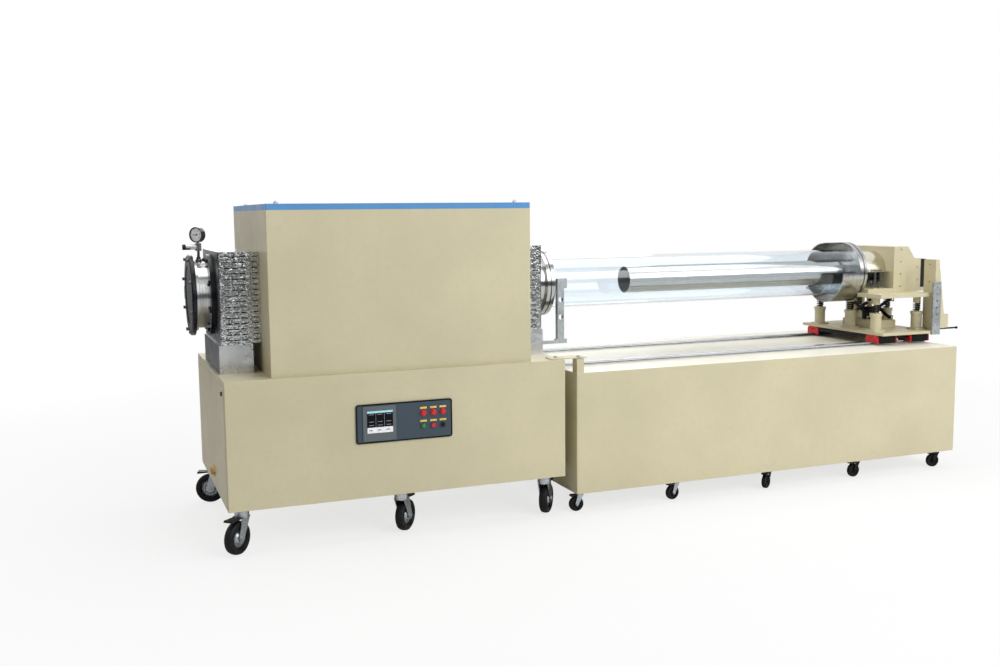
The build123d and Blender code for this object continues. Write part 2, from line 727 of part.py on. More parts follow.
# ---------------------------------------------------------------- gauge, valve and door
gauge_x = base_left - gauge_from_base_end
gauge_foot = tube_z + flange_body_radius + 12.0
tee_z = tube_z + 224.0
dial_z = tube_z + 281.0
dial_radius = 36.0
dial_turn = 42.0         # the dial looks this far towards -X from the front
dial_half_depth = 12.0
dial_rim_width = 4.0
valve_body_radius = 13.0
valve_body_end = gauge_x - 56.0
with BuildPart() as gauge:
    along_z(gauge_x, 0, gauge_foot, tee_z - gauge_foot, 6.5)
    along_z(gauge_x, 0, gauge_foot, 10.0, 10.0)
    along_z(gauge_x, 0, tee_z - 18.0, 36.0, 15.0)
    along_z(gauge_x, 0, tee_z, dial_z - tee_z, 7.0)
    along_x(valve_body_end, 0, tee_z, gauge_x - valve_body_end, valve_body_radius)
    dial_along = (cos(radians(dial_turn)), -sin(radians(dial_turn)), 0)
    dial_facing = (-sin(radians(dial_turn)), -cos(radians(dial_turn)), 0)
    dial_plane = Plane(origin=(gauge_x, 0, dial_z), x_dir=dial_along, z_dir=dial_facing)
    rod(dial_plane.offset(-dial_half_depth), 2 * dial_half_depth - dial_rim_width, dial_radius - 1.0)
    with BuildSketch(dial_plane.offset(dial_half_depth - dial_rim_width)) as dial_rim:
        Circle(dial_radius)
        Circle(dial_radius - dial_rim_width, mode=Mode.SUBTRACT)
    extrude(dial_rim.sketch, amount=2 * dial_rim_width)
save("gauge_assembly", gauge.part)

valve_knob_radius = valve_body_radius
with BuildPart() as valve_knob:
    along_x(base_left - left_reach, 0, tee_z, valve_reach - 56.0 - seat_gap, valve_knob_radius)
    with BuildSketch(Plane(origin=(base_left - left_reach, 0, tee_z), x_dir=(0, 1, 0), z_dir=(1, 0, 0))):
        with Locations(*on_circle(valve_knob_radius + 0.6, 8)):
            Circle(2.0)
    extrude(amount=valve_reach - 56.0 - seat_gap, mode=Mode.SUBTRACT)
save("valve_knob", valve_knob.part)

door_radius = 189.0
door_thickness = 22.0
door_face = left_face - seat_gap
door_outer = door_face - door_thickness
with BuildPart() as door:
    turned([(door_outer, 0), (door_face, 0), (door_face, door_radius), (door_outer + 6.0, door_radius),
            (door_outer, door_radius - 6.0)])
    turned([(door_outer, 0), (door_outer + 3.0, 0), (door_outer + 3.0, door_ring_radius - 30.0),
            (door_outer, door_ring_radius - 32.0)], mode=Mode.SUBTRACT)
    block(door_outer, hinge_x + 3.0, door_radius - 22.0, hinge_y, tube_z - hinge_arm_height / 2,
          tube_z + hinge_arm_height / 2)
    along_z(hinge_x + 3.0, hinge_y, tube_z - hinge_arm_height / 2, hinge_arm_height, hinge_knuckle_radius)
    along_z(hinge_x + 3.0, hinge_y, tube_z - hinge_arm_height / 2 - 1, hinge_arm_height + 2,
            hinge_pin_radius + pin_gap, mode=Mode.SUBTRACT)
    block(door_face, door_face + 40.0, 0, hinge_y - hinge_knuckle_radius - 3.0,
          tube_z - hinge_arm_height, tube_z + hinge_arm_height, mode=Mode.SUBTRACT)
door_screws = []
for y, z in on_circle(179.0, 8, 22.5):
    with BuildPart() as door_screw:
        along_x(door_outer, y, tube_z + z, -10.0, 8.0)
        along_x(door_outer - 10.0, y, tube_z + z, 6.0, 4.0, mode=Mode.SUBTRACT)
    door_screws.append(door_screw.part)
save("end_door", door.part, *door_screws)


# ---------------------------------------------------------------- tube guides and docking link
guide_left = right_flange_face + 7.0
guide_web = 37.0
guide_depth = 27.0
guide_wall = 3.5
guide_front = 180.0     # front face of the strut, from the tube axis
guide_foot_z = base_top + 53.0
guide_top_z = tube_z + 28.0
guide_hole_radius = 13.0
guide_hole_drops = (107.0, 198.0)
arm_bar_height = 17.0
guide_arm_reach = 16.0
right_skirt_end = right_guard_end - end_plate + skirt_step
guides = []
for side in (-1, 1):
    front = side * guide_front
    back = side * (guide_front - guide_depth)
    y0, y1 = sorted((front, back))
    inner_front = side * (guide_front - guide_wall)
    web_y0, web_y1 = sorted((front, inner_front))
    with BuildPart() as guide:
        with BuildSketch(Plane.XY.offset(guide_foot_z)):
            with BuildLine():
                Polyline((guide_left, back), (guide_left, front), (guide_left + guide_web, front),
                         (guide_left + guide_web, back), (guide_left + guide_web - guide_wall, back),
                         (guide_left + guide_web - guide_wall, inner_front),
                         (guide_left + guide_wall, inner_front), (guide_left + guide_wall, back), close=True)
            make_face()
        extrude(amount=guide_top_z - guide_foot_z)
        for drop in guide_hole_drops:
            along_y(guide_left + guide_web / 2, web_y0 - 1, guide_top_z - drop, guide_wall + 2,
                    guide_hole_radius, mode=Mode.SUBTRACT)
        block(guide_left - 8.0, guide_left + guide_web + 16.0, y0, y1, guide_foot_z - 1.0, guide_foot_z + 5.0)
        block(right_skirt_end, guide_left + guide_web + 16.0, y0, y1, guide_foot_z - 1.0 - arm_bar_height,
              guide_foot_z - 1.0)
    guides.append(guide.part)
    with BuildPart() as roller_bracket:
        pad_y0, pad_y1 = sorted((side * (quartz_radius + 1.0), back))
        side_profile([(guide_left + 2.0, tube_z - 24.0), (guide_left + guide_web + 30.0, tube_z - 24.0),
                      (guide_left + guide_web + 30.0, guide_top_z), (guide_left + 2.0, guide_top_z)],
                     pad_y0, pad_y1)
    guides.append(roller_bracket.part)
    foot_plane = Plane(origin=(guide_left + guide_web / 2, side * (guide_front - guide_depth / 2),
                               guide_foot_z + 5.0))
    guides.append(hex_heads(foot_plane, [(0, 0)], 17.0, 10.0))
save("tube_guides", *guides)

link_left = base_right - 60.0
link_right = table_left + 62.0
link_front = base_front + 20.0
link_back = base_front + 100.0
link_thickness = 5.0
post_left = table_left + 5.0
post_width = 38.0
with BuildPart() as link_bar:
    block(link_left, link_right, link_front, link_back, base_top, base_top + link_thickness)
with BuildPart() as link_post:
    with BuildSketch(Plane.XY.offset(table_top)):
        with Locations((post_left + post_width / 2, base_front + 35.0)):
            Rectangle(post_width, 50.0)
            Rectangle(post_width - 6.0, 44.0, mode=Mode.SUBTRACT)
    extrude(amount=base_top - table_top)
link_bolts = hex_heads(Plane.XY.offset(base_top + link_thickness),
                       [(base_right - 25.0, link_front + 40.0), (post_left + post_width / 2, base_front + 35.0)],
                       16.0, 9.0)
save("docking_link", link_bar.part, link_post.part, link_bolts)


# ---------------------------------------------------------------- loading table and rails
with BuildPart() as table:
    with BuildSketch(Plane.XY.offset(table_bottom)):
        with Locations((table_middle, 0)):
            RectangleRounded(table_length, table_depth, 4.0)
    extrude(amount=table_height)
    block(table_left + table_wall, table_right - table_wall, table_front + table_wall,
          -table_front - table_wall, table_bottom + table_wall, table_top - table_wall, mode=Mode.SUBTRACT)
save("table_cabinet", table.part)

rail_left = table_left + 12.0
rail_right = table_right - 7.0
rail_groove = 5.0
stop_length = 14.0
rails = []
for side in (-1, 1):
    rail_y = side * rail_side
    half_rail = rail_width / 2
    with BuildPart() as rail:
        end_profile([(rail_y - half_rail, table_top), (rail_y + half_rail, table_top),
                     (rail_y + half_rail, table_top + 5.0), (rail_y + half_rail - rail_groove, table_top + 9.0),
                     (rail_y + half_rail, rail_top - 6.0), (rail_y + half_rail, rail_top - 1.5),
                     (rail_y + half_rail - 1.5, rail_top), (rail_y - half_rail + 1.5, rail_top),
                     (rail_y - half_rail, rail_top - 1.5), (rail_y - half_rail, rail_top - 6.0),
                     (rail_y - half_rail + rail_groove, table_top + 9.0),
                     (rail_y - half_rail, table_top + 5.0)], rail_left, rail_right)
    rails.append(rail.part)
    with BuildPart() as rail_stop:
        block(rail_left, rail_left + stop_length, rail_y - half_rail, rail_y + half_rail,
              rail_top, rail_top + 16.0)
    rails.append(rail_stop.part)
save("guide_rails", *rails)


# ---------------------------------------------------------------- carriage
plate_half = plate_width / 2
bracket_front = 348.0
bracket_back = 256.0
with BuildPart() as carriage_plate:
    with BuildSketch(Plane.XY.offset(plate_bottom)):
        with Locations(((plate_left + plate_right) / 2, 0)):
            RectangleRounded(plate_length, plate_width, 8.0)
    extrude(amount=plate_thickness)
save("carriage_plate", carriage_plate.part)

block_lift = 11.0       # block underside above the table top
block_bottom = table_top + block_lift
block_starts = (plate_left + 5.0 + seal_thickness, plate_right - 2.0 - seal_thickness - (block_length - 16.0))
block_run = block_length - 2 * seal_thickness
channel_half = rail_width / 2 + slide_gap
channel_top = rail_top + slide_gap
bearings = []
seals = []
for side in (-1, 1):
    rail_y = side * rail_side
    outline = [(rail_y - block_width / 2, block_bottom), (rail_y - channel_half, block_bottom),
               (rail_y - channel_half, channel_top), (rail_y + channel_half, channel_top),
               (rail_y + channel_half, block_bottom), (rail_y + block_width / 2, block_bottom),
               (rail_y + block_width / 2, plate_bottom - 12.0), (rail_y + block_width / 2 - 12.0, plate_bottom),
               (rail_y - block_width / 2 + 12.0, plate_bottom), (rail_y - block_width / 2, plate_bottom - 12.0)]
    for start in block_starts:
        with BuildPart() as bearing:
            end_profile(outline, start, start + block_run)
        bearings.append(bearing.part)
        for seal_x in (start - seal_thickness, start + block_run):
            with BuildPart() as seal:
                end_profile(outline, seal_x, seal_x + seal_thickness)
                along_x(seal_x - 1, rail_y, plate_bottom - 16.0, seal_thickness + 2, 5.0, mode=Mode.SUBTRACT)
            seals.append(seal.part)

cross_top = plate_bottom
cross_bottom = plate_bottom - 26.0
cross_half = rail_side - block_width / 2
with BuildPart() as cross_member:
    block(plate_left + 8.0, plate_left + 34.0, -cross_half, cross_half, cross_bottom, cross_top)
bearings.append(cross_member.part)
for side in (-1, 1):
    with BuildPart() as side_member:
        block(block_starts[0] + block_run + seal_thickness, block_starts[1] - seal_thickness,
              side * rail_side - 30.0, side * rail_side + 30.0, cross_bottom, cross_top)
    bearings.append(side_member.part)
save("bearing_blocks", *bearings)
save("block_end_seals", *seals)

# Six sprung posts: squared foot, body, cap, and a bore for the stud of the platform
post_columns = (plate_left + 45.0, plate_right - 41.0)
post_rows = (-250.0, 0.0, 250.0)
middle_post_shift = 25.0     # the middle post on the tube's side stands clear of the flange
post_places = [(post_columns[0] + (middle_post_shift if y == 0 else 0.0), y) for y in post_rows]
post_places += [(post_columns[1], y) for y in post_rows]
foot_side = 80.0
foot_thickness = 9.0
post_radius = 31.0
cap_radius = 35.0
cap_height = 18.0
post_top = plate_top + 107.0
stud_radius = 9.0
stud_reach = 45.0
post_bore_depth = stud_reach + lift_travel + 8.0
posts = []
for x, y in post_places:
    with BuildPart() as post:
        with BuildSketch(Plane.XY.offset(plate_top)):
            with Locations((x, y)):
                RectangleRounded(foot_side, foot_side, 8.0)
        extrude(amount=foot_thickness)
        along_z(x, y, plate_top + foot_thickness, post_top - plate_top - foot_thickness, post_radius)
        along_z(x, y, post_top - cap_height, cap_height, cap_radius)
        along_z(x, y, post_top - post_bore_depth, post_bore_depth, stud_radius + seat_gap, mode=Mode.SUBTRACT)
    posts.append(post.part)
save("spring_posts", *posts)

spring_wire = 6.0
spring_turns = 4
spring_top = post_top + spring_free_space
with BuildPart() as spring:
    with BuildLine():
        coil = Helix(pitch=(spring_free_space - spring_wire) / spring_turns,
                     height=spring_free_space - spring_wire,
                     radius=spring_radius - spring_wire / 2, center=(0, 0, post_top + spring_wire / 2))
    with BuildSketch(Plane(origin=coil @ 0, x_dir=(1, 0, 0), z_dir=coil % 0)):
        Rectangle(spring_wire, spring_wire)
    sweep(is_frenet=True)
spring_coils = [spring.part.moved(Location((x, y, 0))) for x, y in post_places]
save("lift_springs", *spring_coils)

# Base frame of the scissor lift, with the pump body in the middle
lift_middle_x = plate_left + 212.0
lift_frame_length = 184.0
lift_frame_half_width = 125.0
lift_frame_height = 46.0
lift_frame_top = plate_top + lift_frame_height
pivot_span = arm_length * cos(radians(arm_angle))
pivot_rise = arm_length * sin(radians(arm_angle))
pivot_y = pivot_span / 2
low_pivot_z = lift_frame_top + 14.0
high_pivot_z = low_pivot_z + pivot_rise
arm_width = 18.0
arm_thickness = 7.0
pivot_radius = 6.0
lug_thickness = 6.0
open_pivot_gap = 2.0
lug_reach = 84.0
lug_planes = (lift_middle_x - lug_reach, lift_middle_x + lug_reach)   # outer face of each lug pair
pump_radius = 42.0
pump_top = lift_frame_top + 74.0
ram_radius = 16.0
slot_run = 2.0 * lift_travel + 2 * pivot_radius + 8.0

with BuildPart() as lift_frame:
    block(lift_middle_x - lift_frame_length / 2, lift_middle_x + lift_frame_length / 2,
          -lift_frame_half_width, lift_frame_half_width, plate_top, lift_frame_top)
    for lug_x, inward in zip(lug_planes, (1, -1)):
        x0, x1 = sorted((lug_x, lug_x + inward * lug_thickness))
        for y in (-pivot_y, pivot_y):
            block(x0, x1, y - 18.0, y + 18.0, lift_frame_top, low_pivot_z + 12.0)
        along_x(x0 - 1, pivot_y, low_pivot_z, lug_thickness + 2, pivot_radius + pin_gap, mode=Mode.SUBTRACT)
        with BuildSketch(Plane.YZ.offset(x0 - 1)):
            with Locations((-pivot_y, low_pivot_z)):
                SlotOverall(slot_run, 2 * (pivot_radius + slide_gap))
        extrude(amount=lug_thickness + 2, mode=Mode.SUBTRACT)
with BuildPart() as pump:
    along_z(lift_middle_x, 0, lift_frame_top, pump_top - lift_frame_top, pump_radius)
    along_z(lift_middle_x, 0, lift_frame_top + 6.0, pump_top, ram_radius + seat_gap, mode=Mode.SUBTRACT)
    chamfer(pump.faces().sort_by(Axis.Z)[-1].outer_wire().edges(), 3.0)
save("lift_base_frame", lift_frame.part, pump.part)


def scissor_pair(outer):
    """One pair of arms and their pins. The outer pair is pinned to the base, the inner to the platform."""
    slope = -1 if outer else 1
    with BuildPart() as pair:
        for lug_x, inward in zip(lug_planes, (1, -1)):
            start = lug_x + inward * (lug_thickness + seat_gap + (0 if outer else arm_thickness + seat_gap))
            x0, x1 = sorted((start, start + inward * arm_thickness))
            tilt = -arm_angle if outer else arm_angle
            arm_plane = Plane(origin=(x0, 0, low_pivot_z + pivot_rise / 2), x_dir=(0, 1, 0), z_dir=(1, 0, 0))
            with BuildSketch(arm_plane):
                SlotCenterToCenter(arm_length, arm_width, rotation=tilt)
                if not outer:
                    Circle(pivot_radius + pin_gap, mode=Mode.SUBTRACT)
            extrude(amount=x1 - x0)
            pin_reach = x0 if inward > 0 else x1
            for y, z in ((slope * -pivot_y, low_pivot_z), (slope * pivot_y, high_pivot_z)):
                along_x(pin_reach, y, z, lug_x - pin_reach, pivot_radius)
            if outer:
                along_x(x1 if inward > 0 else x0, 0, low_pivot_z + pivot_rise / 2,
                        inward * (arm_thickness + seat_gap), pivot_radius)
    return pair.part


save("scissor_arms_outer", scissor_pair(True))
save("scissor_arms_inner", scissor_pair(False))

# Floating platform with its spring studs, scissor lugs and ram
half_platform = platform_width / 2
platform_wall = 6.0
platform_plate = 12.0
platform_under = platform_top - platform_plate
flange_notch_half = 140.0
flange_notch_gap = 3.0
with BuildPart() as platform:
    with BuildSketch(Plane.XY.offset(platform_bottom)):
        with Locations(((platform_left + platform_right) / 2, 0)):
            RectangleRounded(platform_right - platform_left, platform_width, 5.0)
    extrude(amount=platform_rim)
    block(platform_left + platform_wall, platform_right - platform_wall, -half_platform + platform_wall,
          half_platform - platform_wall, platform_bottom, platform_under, mode=Mode.SUBTRACT)
    block(platform_left - 1, flange_right + flange_notch_gap, -flange_notch_half, flange_notch_half,
          platform_bottom - 1, platform_top + 1, mode=Mode.SUBTRACT)
    for x, y in post_places:
        along_z(x, y, spring_top, platform_under - spring_top, spring_radius)
        along_z(x, y, post_top - stud_reach, spring_top - post_top + stud_reach, stud_radius)
    for lug_x, inward in zip(lug_planes, (1, -1)):
        x0, x1 = sorted((lug_x, lug_x + inward * lug_thickness))
        for y in (-pivot_y, pivot_y):
            block(x0, x1, y - 22.0, y + 22.0, high_pivot_z - 14.0, platform_under)
        along_x(x0 - 1, pivot_y, high_pivot_z, lug_thickness + 2, pivot_radius + open_pivot_gap,
                mode=Mode.SUBTRACT)
        with BuildSketch(Plane.YZ.offset(x0 - 1)):
            with Locations((-pivot_y, high_pivot_z)):
                SlotOverall(slot_run + 2 * open_pivot_gap, 2 * (pivot_radius + open_pivot_gap))
        extrude(amount=lug_thickness + 2, mode=Mode.SUBTRACT)
    along_z(lift_middle_x, 0, lift_frame_top + 6.0 + lift_travel + 2.0,
            platform_under - lift_frame_top - 8.0 - lift_travel, ram_radius)
save("lift_platform", platform.part)

# Angle brackets that stand at the end of the carriage, and the lever of the lift
bracket_bottom = plate_bottom - 7.0
bracket_top = tube_z + 75.0
bracket_leg = 27.0
bracket_wall = 12.0
gusset_reach = 48.0
bracket_hole_radius = 5.0
bracket_hole_drops = (31.0, 131.0)
foot_box_length = 91.0
foot_box_bottom = plate_top + 9.0
upright_width = 57.0
upright_overlap = 37.0   # length of plate edge that the upright covers
upright_thickness = 12.0
upright_top = tube_z - 53.0
upright_holes = 5
upright_hole_pitch = 40.0
upright_first_hole = 30.0
hole_margin = 20.0         # a hole's cutter starts this far outside the metal
foot_box_top = plate_top + 89.0
brackets = []
for side in (-1, 1):
    front = side * bracket_front
    back = side * bracket_back
    inner = side * (bracket_front - bracket_wall)
    with BuildPart() as bracket:
        with BuildSketch(Plane.XY.offset(bracket_bottom)):
            with BuildLine():
                Polyline((plate_right, back), (plate_right, front), (plate_right + bracket_leg, front),
                         (plate_right + bracket_leg, inner), (plate_right + bracket_wall, inner),
                         (plate_right + bracket_wall, back), close=True)
            make_face()
        extrude(amount=bracket_top - bracket_bottom)
        side_profile([(plate_right + bracket_leg, bracket_top), (plate_right + bracket_leg, foot_box_bottom),
                      (plate_right + bracket_leg + gusset_reach, foot_box_bottom),
                      (plate_right + bracket_leg + gusset_reach, foot_box_top)],
                     *sorted((side * (bracket_front - 2.0), inner)))
        for drop in bracket_hole_drops:
            along_x(plate_right - 1, side * (bracket_front + bracket_back) / 2, bracket_top - drop,
                    bracket_wall + 2, bracket_hole_radius, mode=Mode.SUBTRACT)
    brackets.append(bracket.part)
    with BuildPart() as upright:
        block(plate_right - upright_overlap, plate_right + upright_width - upright_overlap,
              *sorted((side * plate_half, side * (plate_half + upright_thickness))), bracket_bottom,
              upright_top)
        for step in range(upright_holes):
            along_y(plate_right - upright_overlap + upright_width / 2, side * plate_half - hole_margin,
                    upright_top - upright_first_hole - step * upright_hole_pitch, 2 * hole_margin,
                    bracket_hole_radius, mode=Mode.SUBTRACT)
    brackets.append(upright.part)
    with BuildPart() as foot_box:
        block(plate_right + bracket_leg, plate_right + bracket_leg + foot_box_length,
              *sorted((side * (bracket_front - bracket_wall), back)), foot_box_bottom, foot_box_top)
    brackets.append(foot_box.part)
lever_pivot_x = plate_right + bracket_leg + 30.0
lever_y = -(bracket_front + bracket_back) / 2
lever_z = foot_box_bottom - 8.0
lever_knob_radius = 8.0
lever_end = table_right + lever_reach
with BuildPart() as lever_post:
    along_z(lever_pivot_x, lever_y, lever_z - 7.0, 15.0, 5.0)
with BuildPart() as lever:
    along_z(lever_pivot_x, lever_y, lever_z - 6.0, 12.0, 12.0)
    along_x(lever_pivot_x, lever_y, lever_z, lever_end - lever_knob_radius - lever_pivot_x, 5.0)
    with Locations((lever_end - lever_knob_radius, lever_y, lever_z)):
        Sphere(lever_knob_radius)
    along_z(lever_pivot_x, lever_y, lever_z - 10.0, 20.0, 5.0 + pin_gap, mode=Mode.SUBTRACT)
save("lift_lever", lever.part)
brackets.append(lever_post.part)
save("end_brackets", *brackets)


# ---------------------------------------------------------------- head that holds the tubes
head_half = 184.0
bed_thickness = 22.0
bed_top = platform_top + bed_thickness
head_left = plate_left + 225.0
head_width = 105.0
head_right = head_left + head_width
head_top = tube_z + 149.0
head_wall = 12.0
head_holes = 4
head_hole_pitch = 73.0
head_first_hole = 16.0
gusset_length = 98.0
gusset_hole_drops = (54.0, 130.0)
gusset_hole_share = 0.77    # how far along the gusset its holes are
frame_hole_radius = 4.5
bed_setback = 40.0
gusset_top = tube_z + 78.0
pad_length = 56.0
cover_radius = 120.0
cover_wall = 6.0
flange_radius = 176.0
cradle_wall = 6.0
cradle_reach = 124.0
quartz_right = flange_left + 13.0
quartz_left = right_flange_face
carrier_right = flange_left + 18.0
carrier_left = carrier_right - carrier_length
quartz_bore = quartz_radius - quartz_wall

with BuildPart() as bed:
    block(platform_left + bed_setback, head_right + gusset_length + pad_length, -head_half, head_half,
          platform_top, bed_top)
with BuildPart() as head_block:
    block(head_left, head_right, -head_half, head_half, bed_top, head_top)
    block(head_left + head_wall, head_right - head_wall, -head_half + head_wall, head_half - head_wall,
          bed_top + head_wall, head_top - head_wall, mode=Mode.SUBTRACT)
    for step in range(head_holes):
        along_y((head_left + head_right) / 2, -head_half, head_top - head_first_hole - step * head_hole_pitch,
                head_wall + 2.0, frame_hole_radius, mode=Mode.SUBTRACT)
with BuildPart() as head_gusset:
    side_profile([(head_right, bed_top), (head_right + gusset_length, bed_top),
                  (head_right + gusset_length, gusset_top), (head_right + 0.5 * gusset_length, gusset_top),
                  (head_right, head_top)], -head_half, head_half)
    side_profile([(head_right + 8.0, bed_top + 8.0), (head_right + gusset_length - 8.0, bed_top + 8.0),
                  (head_right + gusset_length - 8.0, gusset_top - 8.0),
                  (head_right + 8.0, gusset_top - 8.0)], -head_half + 8.0, head_half - 8.0,
                 mode=Mode.SUBTRACT)
    for drop in gusset_hole_drops:
        along_y(head_right + gusset_hole_share * gusset_length, -head_half, gusset_top - drop, 6.0,
                frame_hole_radius, mode=Mode.SUBTRACT)
with BuildPart() as head_pad:
    block(head_right + gusset_length, head_right + gusset_length + pad_length, -head_half + 14.0,
          head_half - 14.0, bed_top, gusset_top - 6.0)
with BuildPart() as coupling_cover:
    with BuildSketch(Plane.YZ.offset(flange_right)):
        with Locations((0, tube_z)):
            Circle(cover_radius)
            Circle(cover_radius - cover_wall, mode=Mode.SUBTRACT)
        with Locations((0, tube_z - cover_radius)):
            Rectangle(2 * cover_radius + 2, 2 * cover_radius, mode=Mode.SUBTRACT)
    extrude(amount=head_left - flange_right)
    for side in (-1, 1):
        y0, y1 = sorted((side * (cover_radius - cover_wall), side * (cover_radius + 26.0)))
        block(flange_right, head_left, y0, y1, tube_z, tube_z + cover_wall)
save("head_frame", bed.part, head_block.part, head_gusset.part, head_pad.part, coupling_cover.part)

hub_radius = 58.0
hub_flange_radius = 86.0
hub_flange_thickness = 16.0
tie_radius = 7.0
tie_offset = 12.0
with BuildPart() as hub:
    turned([(flange_right, 0), (head_left, 0), (head_left, hub_flange_radius),
            (head_left - hub_flange_thickness, hub_flange_radius), (head_left - hub_flange_thickness, hub_radius),
            (flange_right + 24.0, hub_radius), (flange_right + 24.0, 84.0), (flange_right, 84.0)])
hub_bolts = hex_heads(Plane(origin=(head_left - hub_flange_thickness, 0, tube_z), x_dir=(0, 1, 0),
                            z_dir=(-1, 0, 0)), on_circle(72.0, 8, 22.5), 13.0, 9.0)
ties = []
for side in (-1, 1):
    for x in (flange_right + 0.5 * (head_left - flange_right), flange_right + 0.72 * (head_left - flange_right)):
        with BuildPart() as tie:
            along_z(x, side * (cover_radius + tie_offset), bed_top, tube_z - bed_top, tie_radius)
        ties.append(tie.part)
        ties.append(hex_heads(Plane(origin=(x, side * (cover_radius + tie_offset), tube_z + cover_wall)),
                              [(0, 0)], 15.0, 9.0))
save("coupling_hub", hub.part, hub_bolts, *ties)

with BuildPart() as cradle:
    turned([(flange_left, quartz_radius + seat_gap), (quartz_right + seat_gap, quartz_radius + seat_gap),
            (quartz_right + seat_gap, carrier_radius + seat_gap),
            (carrier_right + seat_gap, carrier_radius + seat_gap),
            (carrier_right + seat_gap, 30.0), (flange_right, 30.0), (flange_right, flange_radius),
            (flange_left + 34.0, flange_radius), (flange_left + 34.0, flange_radius - 8.0),
            (flange_left + 26.0, flange_radius - 8.0), (flange_left + 26.0, flange_radius),
            (flange_left, flange_radius)])
    with BuildSketch(Plane.YZ.offset(flange_left)):
        with Locations((0, tube_z)):
            Circle(flange_radius)
            Circle(flange_radius - cradle_wall, mode=Mode.SUBTRACT)
        with Locations((-flange_radius, tube_z + flange_radius)):
            Rectangle(2 * flange_radius, 2 * flange_radius, mode=Mode.SUBTRACT)
    extrude(amount=-cradle_reach)
save("cradle_flange", cradle.part)

with BuildPart() as quartz:
    turned([(quartz_left, quartz_bore), (quartz_right, quartz_bore), (quartz_right, quartz_radius),
            (quartz_left, quartz_radius)])
save("quartz_tube", quartz.part)

with BuildPart() as carrier:
    turned([(carrier_left, carrier_radius - carrier_wall), (carrier_right, carrier_radius - carrier_wall),
            (carrier_right, carrier_radius), (carrier_left, carrier_radius)])
save("carrier_tube", carrier.part)
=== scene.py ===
"""Looks for the tube furnace and its loading table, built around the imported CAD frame."""

import math

import bmesh
import bpy
from mathutils import Matrix, Vector


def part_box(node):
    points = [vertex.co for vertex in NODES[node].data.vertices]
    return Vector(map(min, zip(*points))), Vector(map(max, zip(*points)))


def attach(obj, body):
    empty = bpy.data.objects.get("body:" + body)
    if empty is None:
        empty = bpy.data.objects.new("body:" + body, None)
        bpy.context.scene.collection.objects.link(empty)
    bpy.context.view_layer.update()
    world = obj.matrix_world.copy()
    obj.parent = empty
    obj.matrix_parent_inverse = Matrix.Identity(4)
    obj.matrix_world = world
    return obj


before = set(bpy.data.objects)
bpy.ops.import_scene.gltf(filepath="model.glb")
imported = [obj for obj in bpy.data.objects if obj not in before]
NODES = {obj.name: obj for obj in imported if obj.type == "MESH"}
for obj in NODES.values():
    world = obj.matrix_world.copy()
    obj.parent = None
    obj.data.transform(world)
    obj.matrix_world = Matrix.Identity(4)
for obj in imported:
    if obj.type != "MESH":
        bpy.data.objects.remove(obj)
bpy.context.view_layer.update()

# ---------------------------------------------------------------- places read from the frame
MM = 0.001
HOOD_LOW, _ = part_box("hood_shell")
PROCESS_LOW, PROCESS_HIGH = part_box("process_tube")
TUBE_Z = (PROCESS_LOW.z + PROCESS_HIGH.z) / 2
HOOD_INSET = 0.206          # from the base's left end to the hood
HOOD_SETBACK = 0.022        # from the base's front face to the hood's
BASE_LEFT = HOOD_LOW.x - HOOD_INSET
BASE_FRONT = HOOD_LOW.y - HOOD_SETBACK


def plan(x, y, z):
    """A point given in mm from the base's left end, its front face and the floor."""
    return Vector((BASE_LEFT + x * MM, BASE_FRONT + y * MM, z * MM))


# ---------------------------------------------------------------- camera at the photograph's view
CAMERA_PLACE = (-532.4, -4561.1, 1480.1)    # mm, as plan() takes them
CAMERA_YAW = 0.3775         # radians, to the right of the furnace's depth axis
CAMERA_PITCH = 0.1122       # radians, downwards
CAMERA_ROLL = -0.0099
FOCAL_SHARE = 1.0478        # focal length over picture width
SENSOR_WIDTH = 36.0         # mm
CLIP_END = 100.0            # metres


def make_camera():
    yaw, pitch, roll = CAMERA_YAW, CAMERA_PITCH, CAMERA_ROLL
    forward = Vector((math.sin(yaw) * math.cos(pitch),
                      math.cos(yaw) * math.cos(pitch),
                      -math.sin(pitch)))
    level = Vector((math.cos(yaw), -math.sin(yaw), 0))
    upright = level.cross(forward)
    right = level * math.cos(roll) + upright * math.sin(roll)
    up = upright * math.cos(roll) - level * math.sin(roll)
    data = bpy.data.cameras.new("camera")
    data.sensor_width = SENSOR_WIDTH
    data.lens = FOCAL_SHARE * SENSOR_WIDTH
    data.clip_end = CLIP_END
    camera = bpy.data.objects.new("camera", data)
    bpy.context.scene.collection.objects.link(camera)
    turn = Matrix((right, up, -forward)).transposed().to_4x4()
    camera.matrix_world = Matrix.Translation(plan(*CAMERA_PLACE)) @ turn
    bpy.context.scene.camera = camera


# ---------------------------------------------------------------- stage and light
def stage_plane(name, centre, size, turn=(0, 0, 0)):
    """A flat rectangle that belongs to the studio and not to the object."""
    mesh = bpy.data.meshes.new(name)
    wide, deep = size[0] / 2, size[1] / 2
    corners = [(-wide, -deep, 0), (wide, -deep, 0), (wide, deep, 0), (-wide, deep, 0)]
    mesh.from_pydata(corners, [], [(0, 1, 2, 3)])
    plane = bpy.data.objects.new(name, mesh)
    plane.location = centre
    plane.rotation_euler = turn
    bpy.context.scene.collection.objects.link(plane)
    return plane


def area_light(name, place, target, size, power, colour):
    data = bpy.data.lights.new(name, "AREA")
    data.shape = "RECTANGLE"
    data.size, data.size_y = size
    data.energy = power
    data.color = colour
    light = bpy.data.objects.new(name, data)
    light.location = place
    light.rotation_euler = (Vector(target) - Vector(place)).to_track_quat("-Z", "Y").to_euler()
    bpy.context.scene.collection.objects.link(light)
    return light


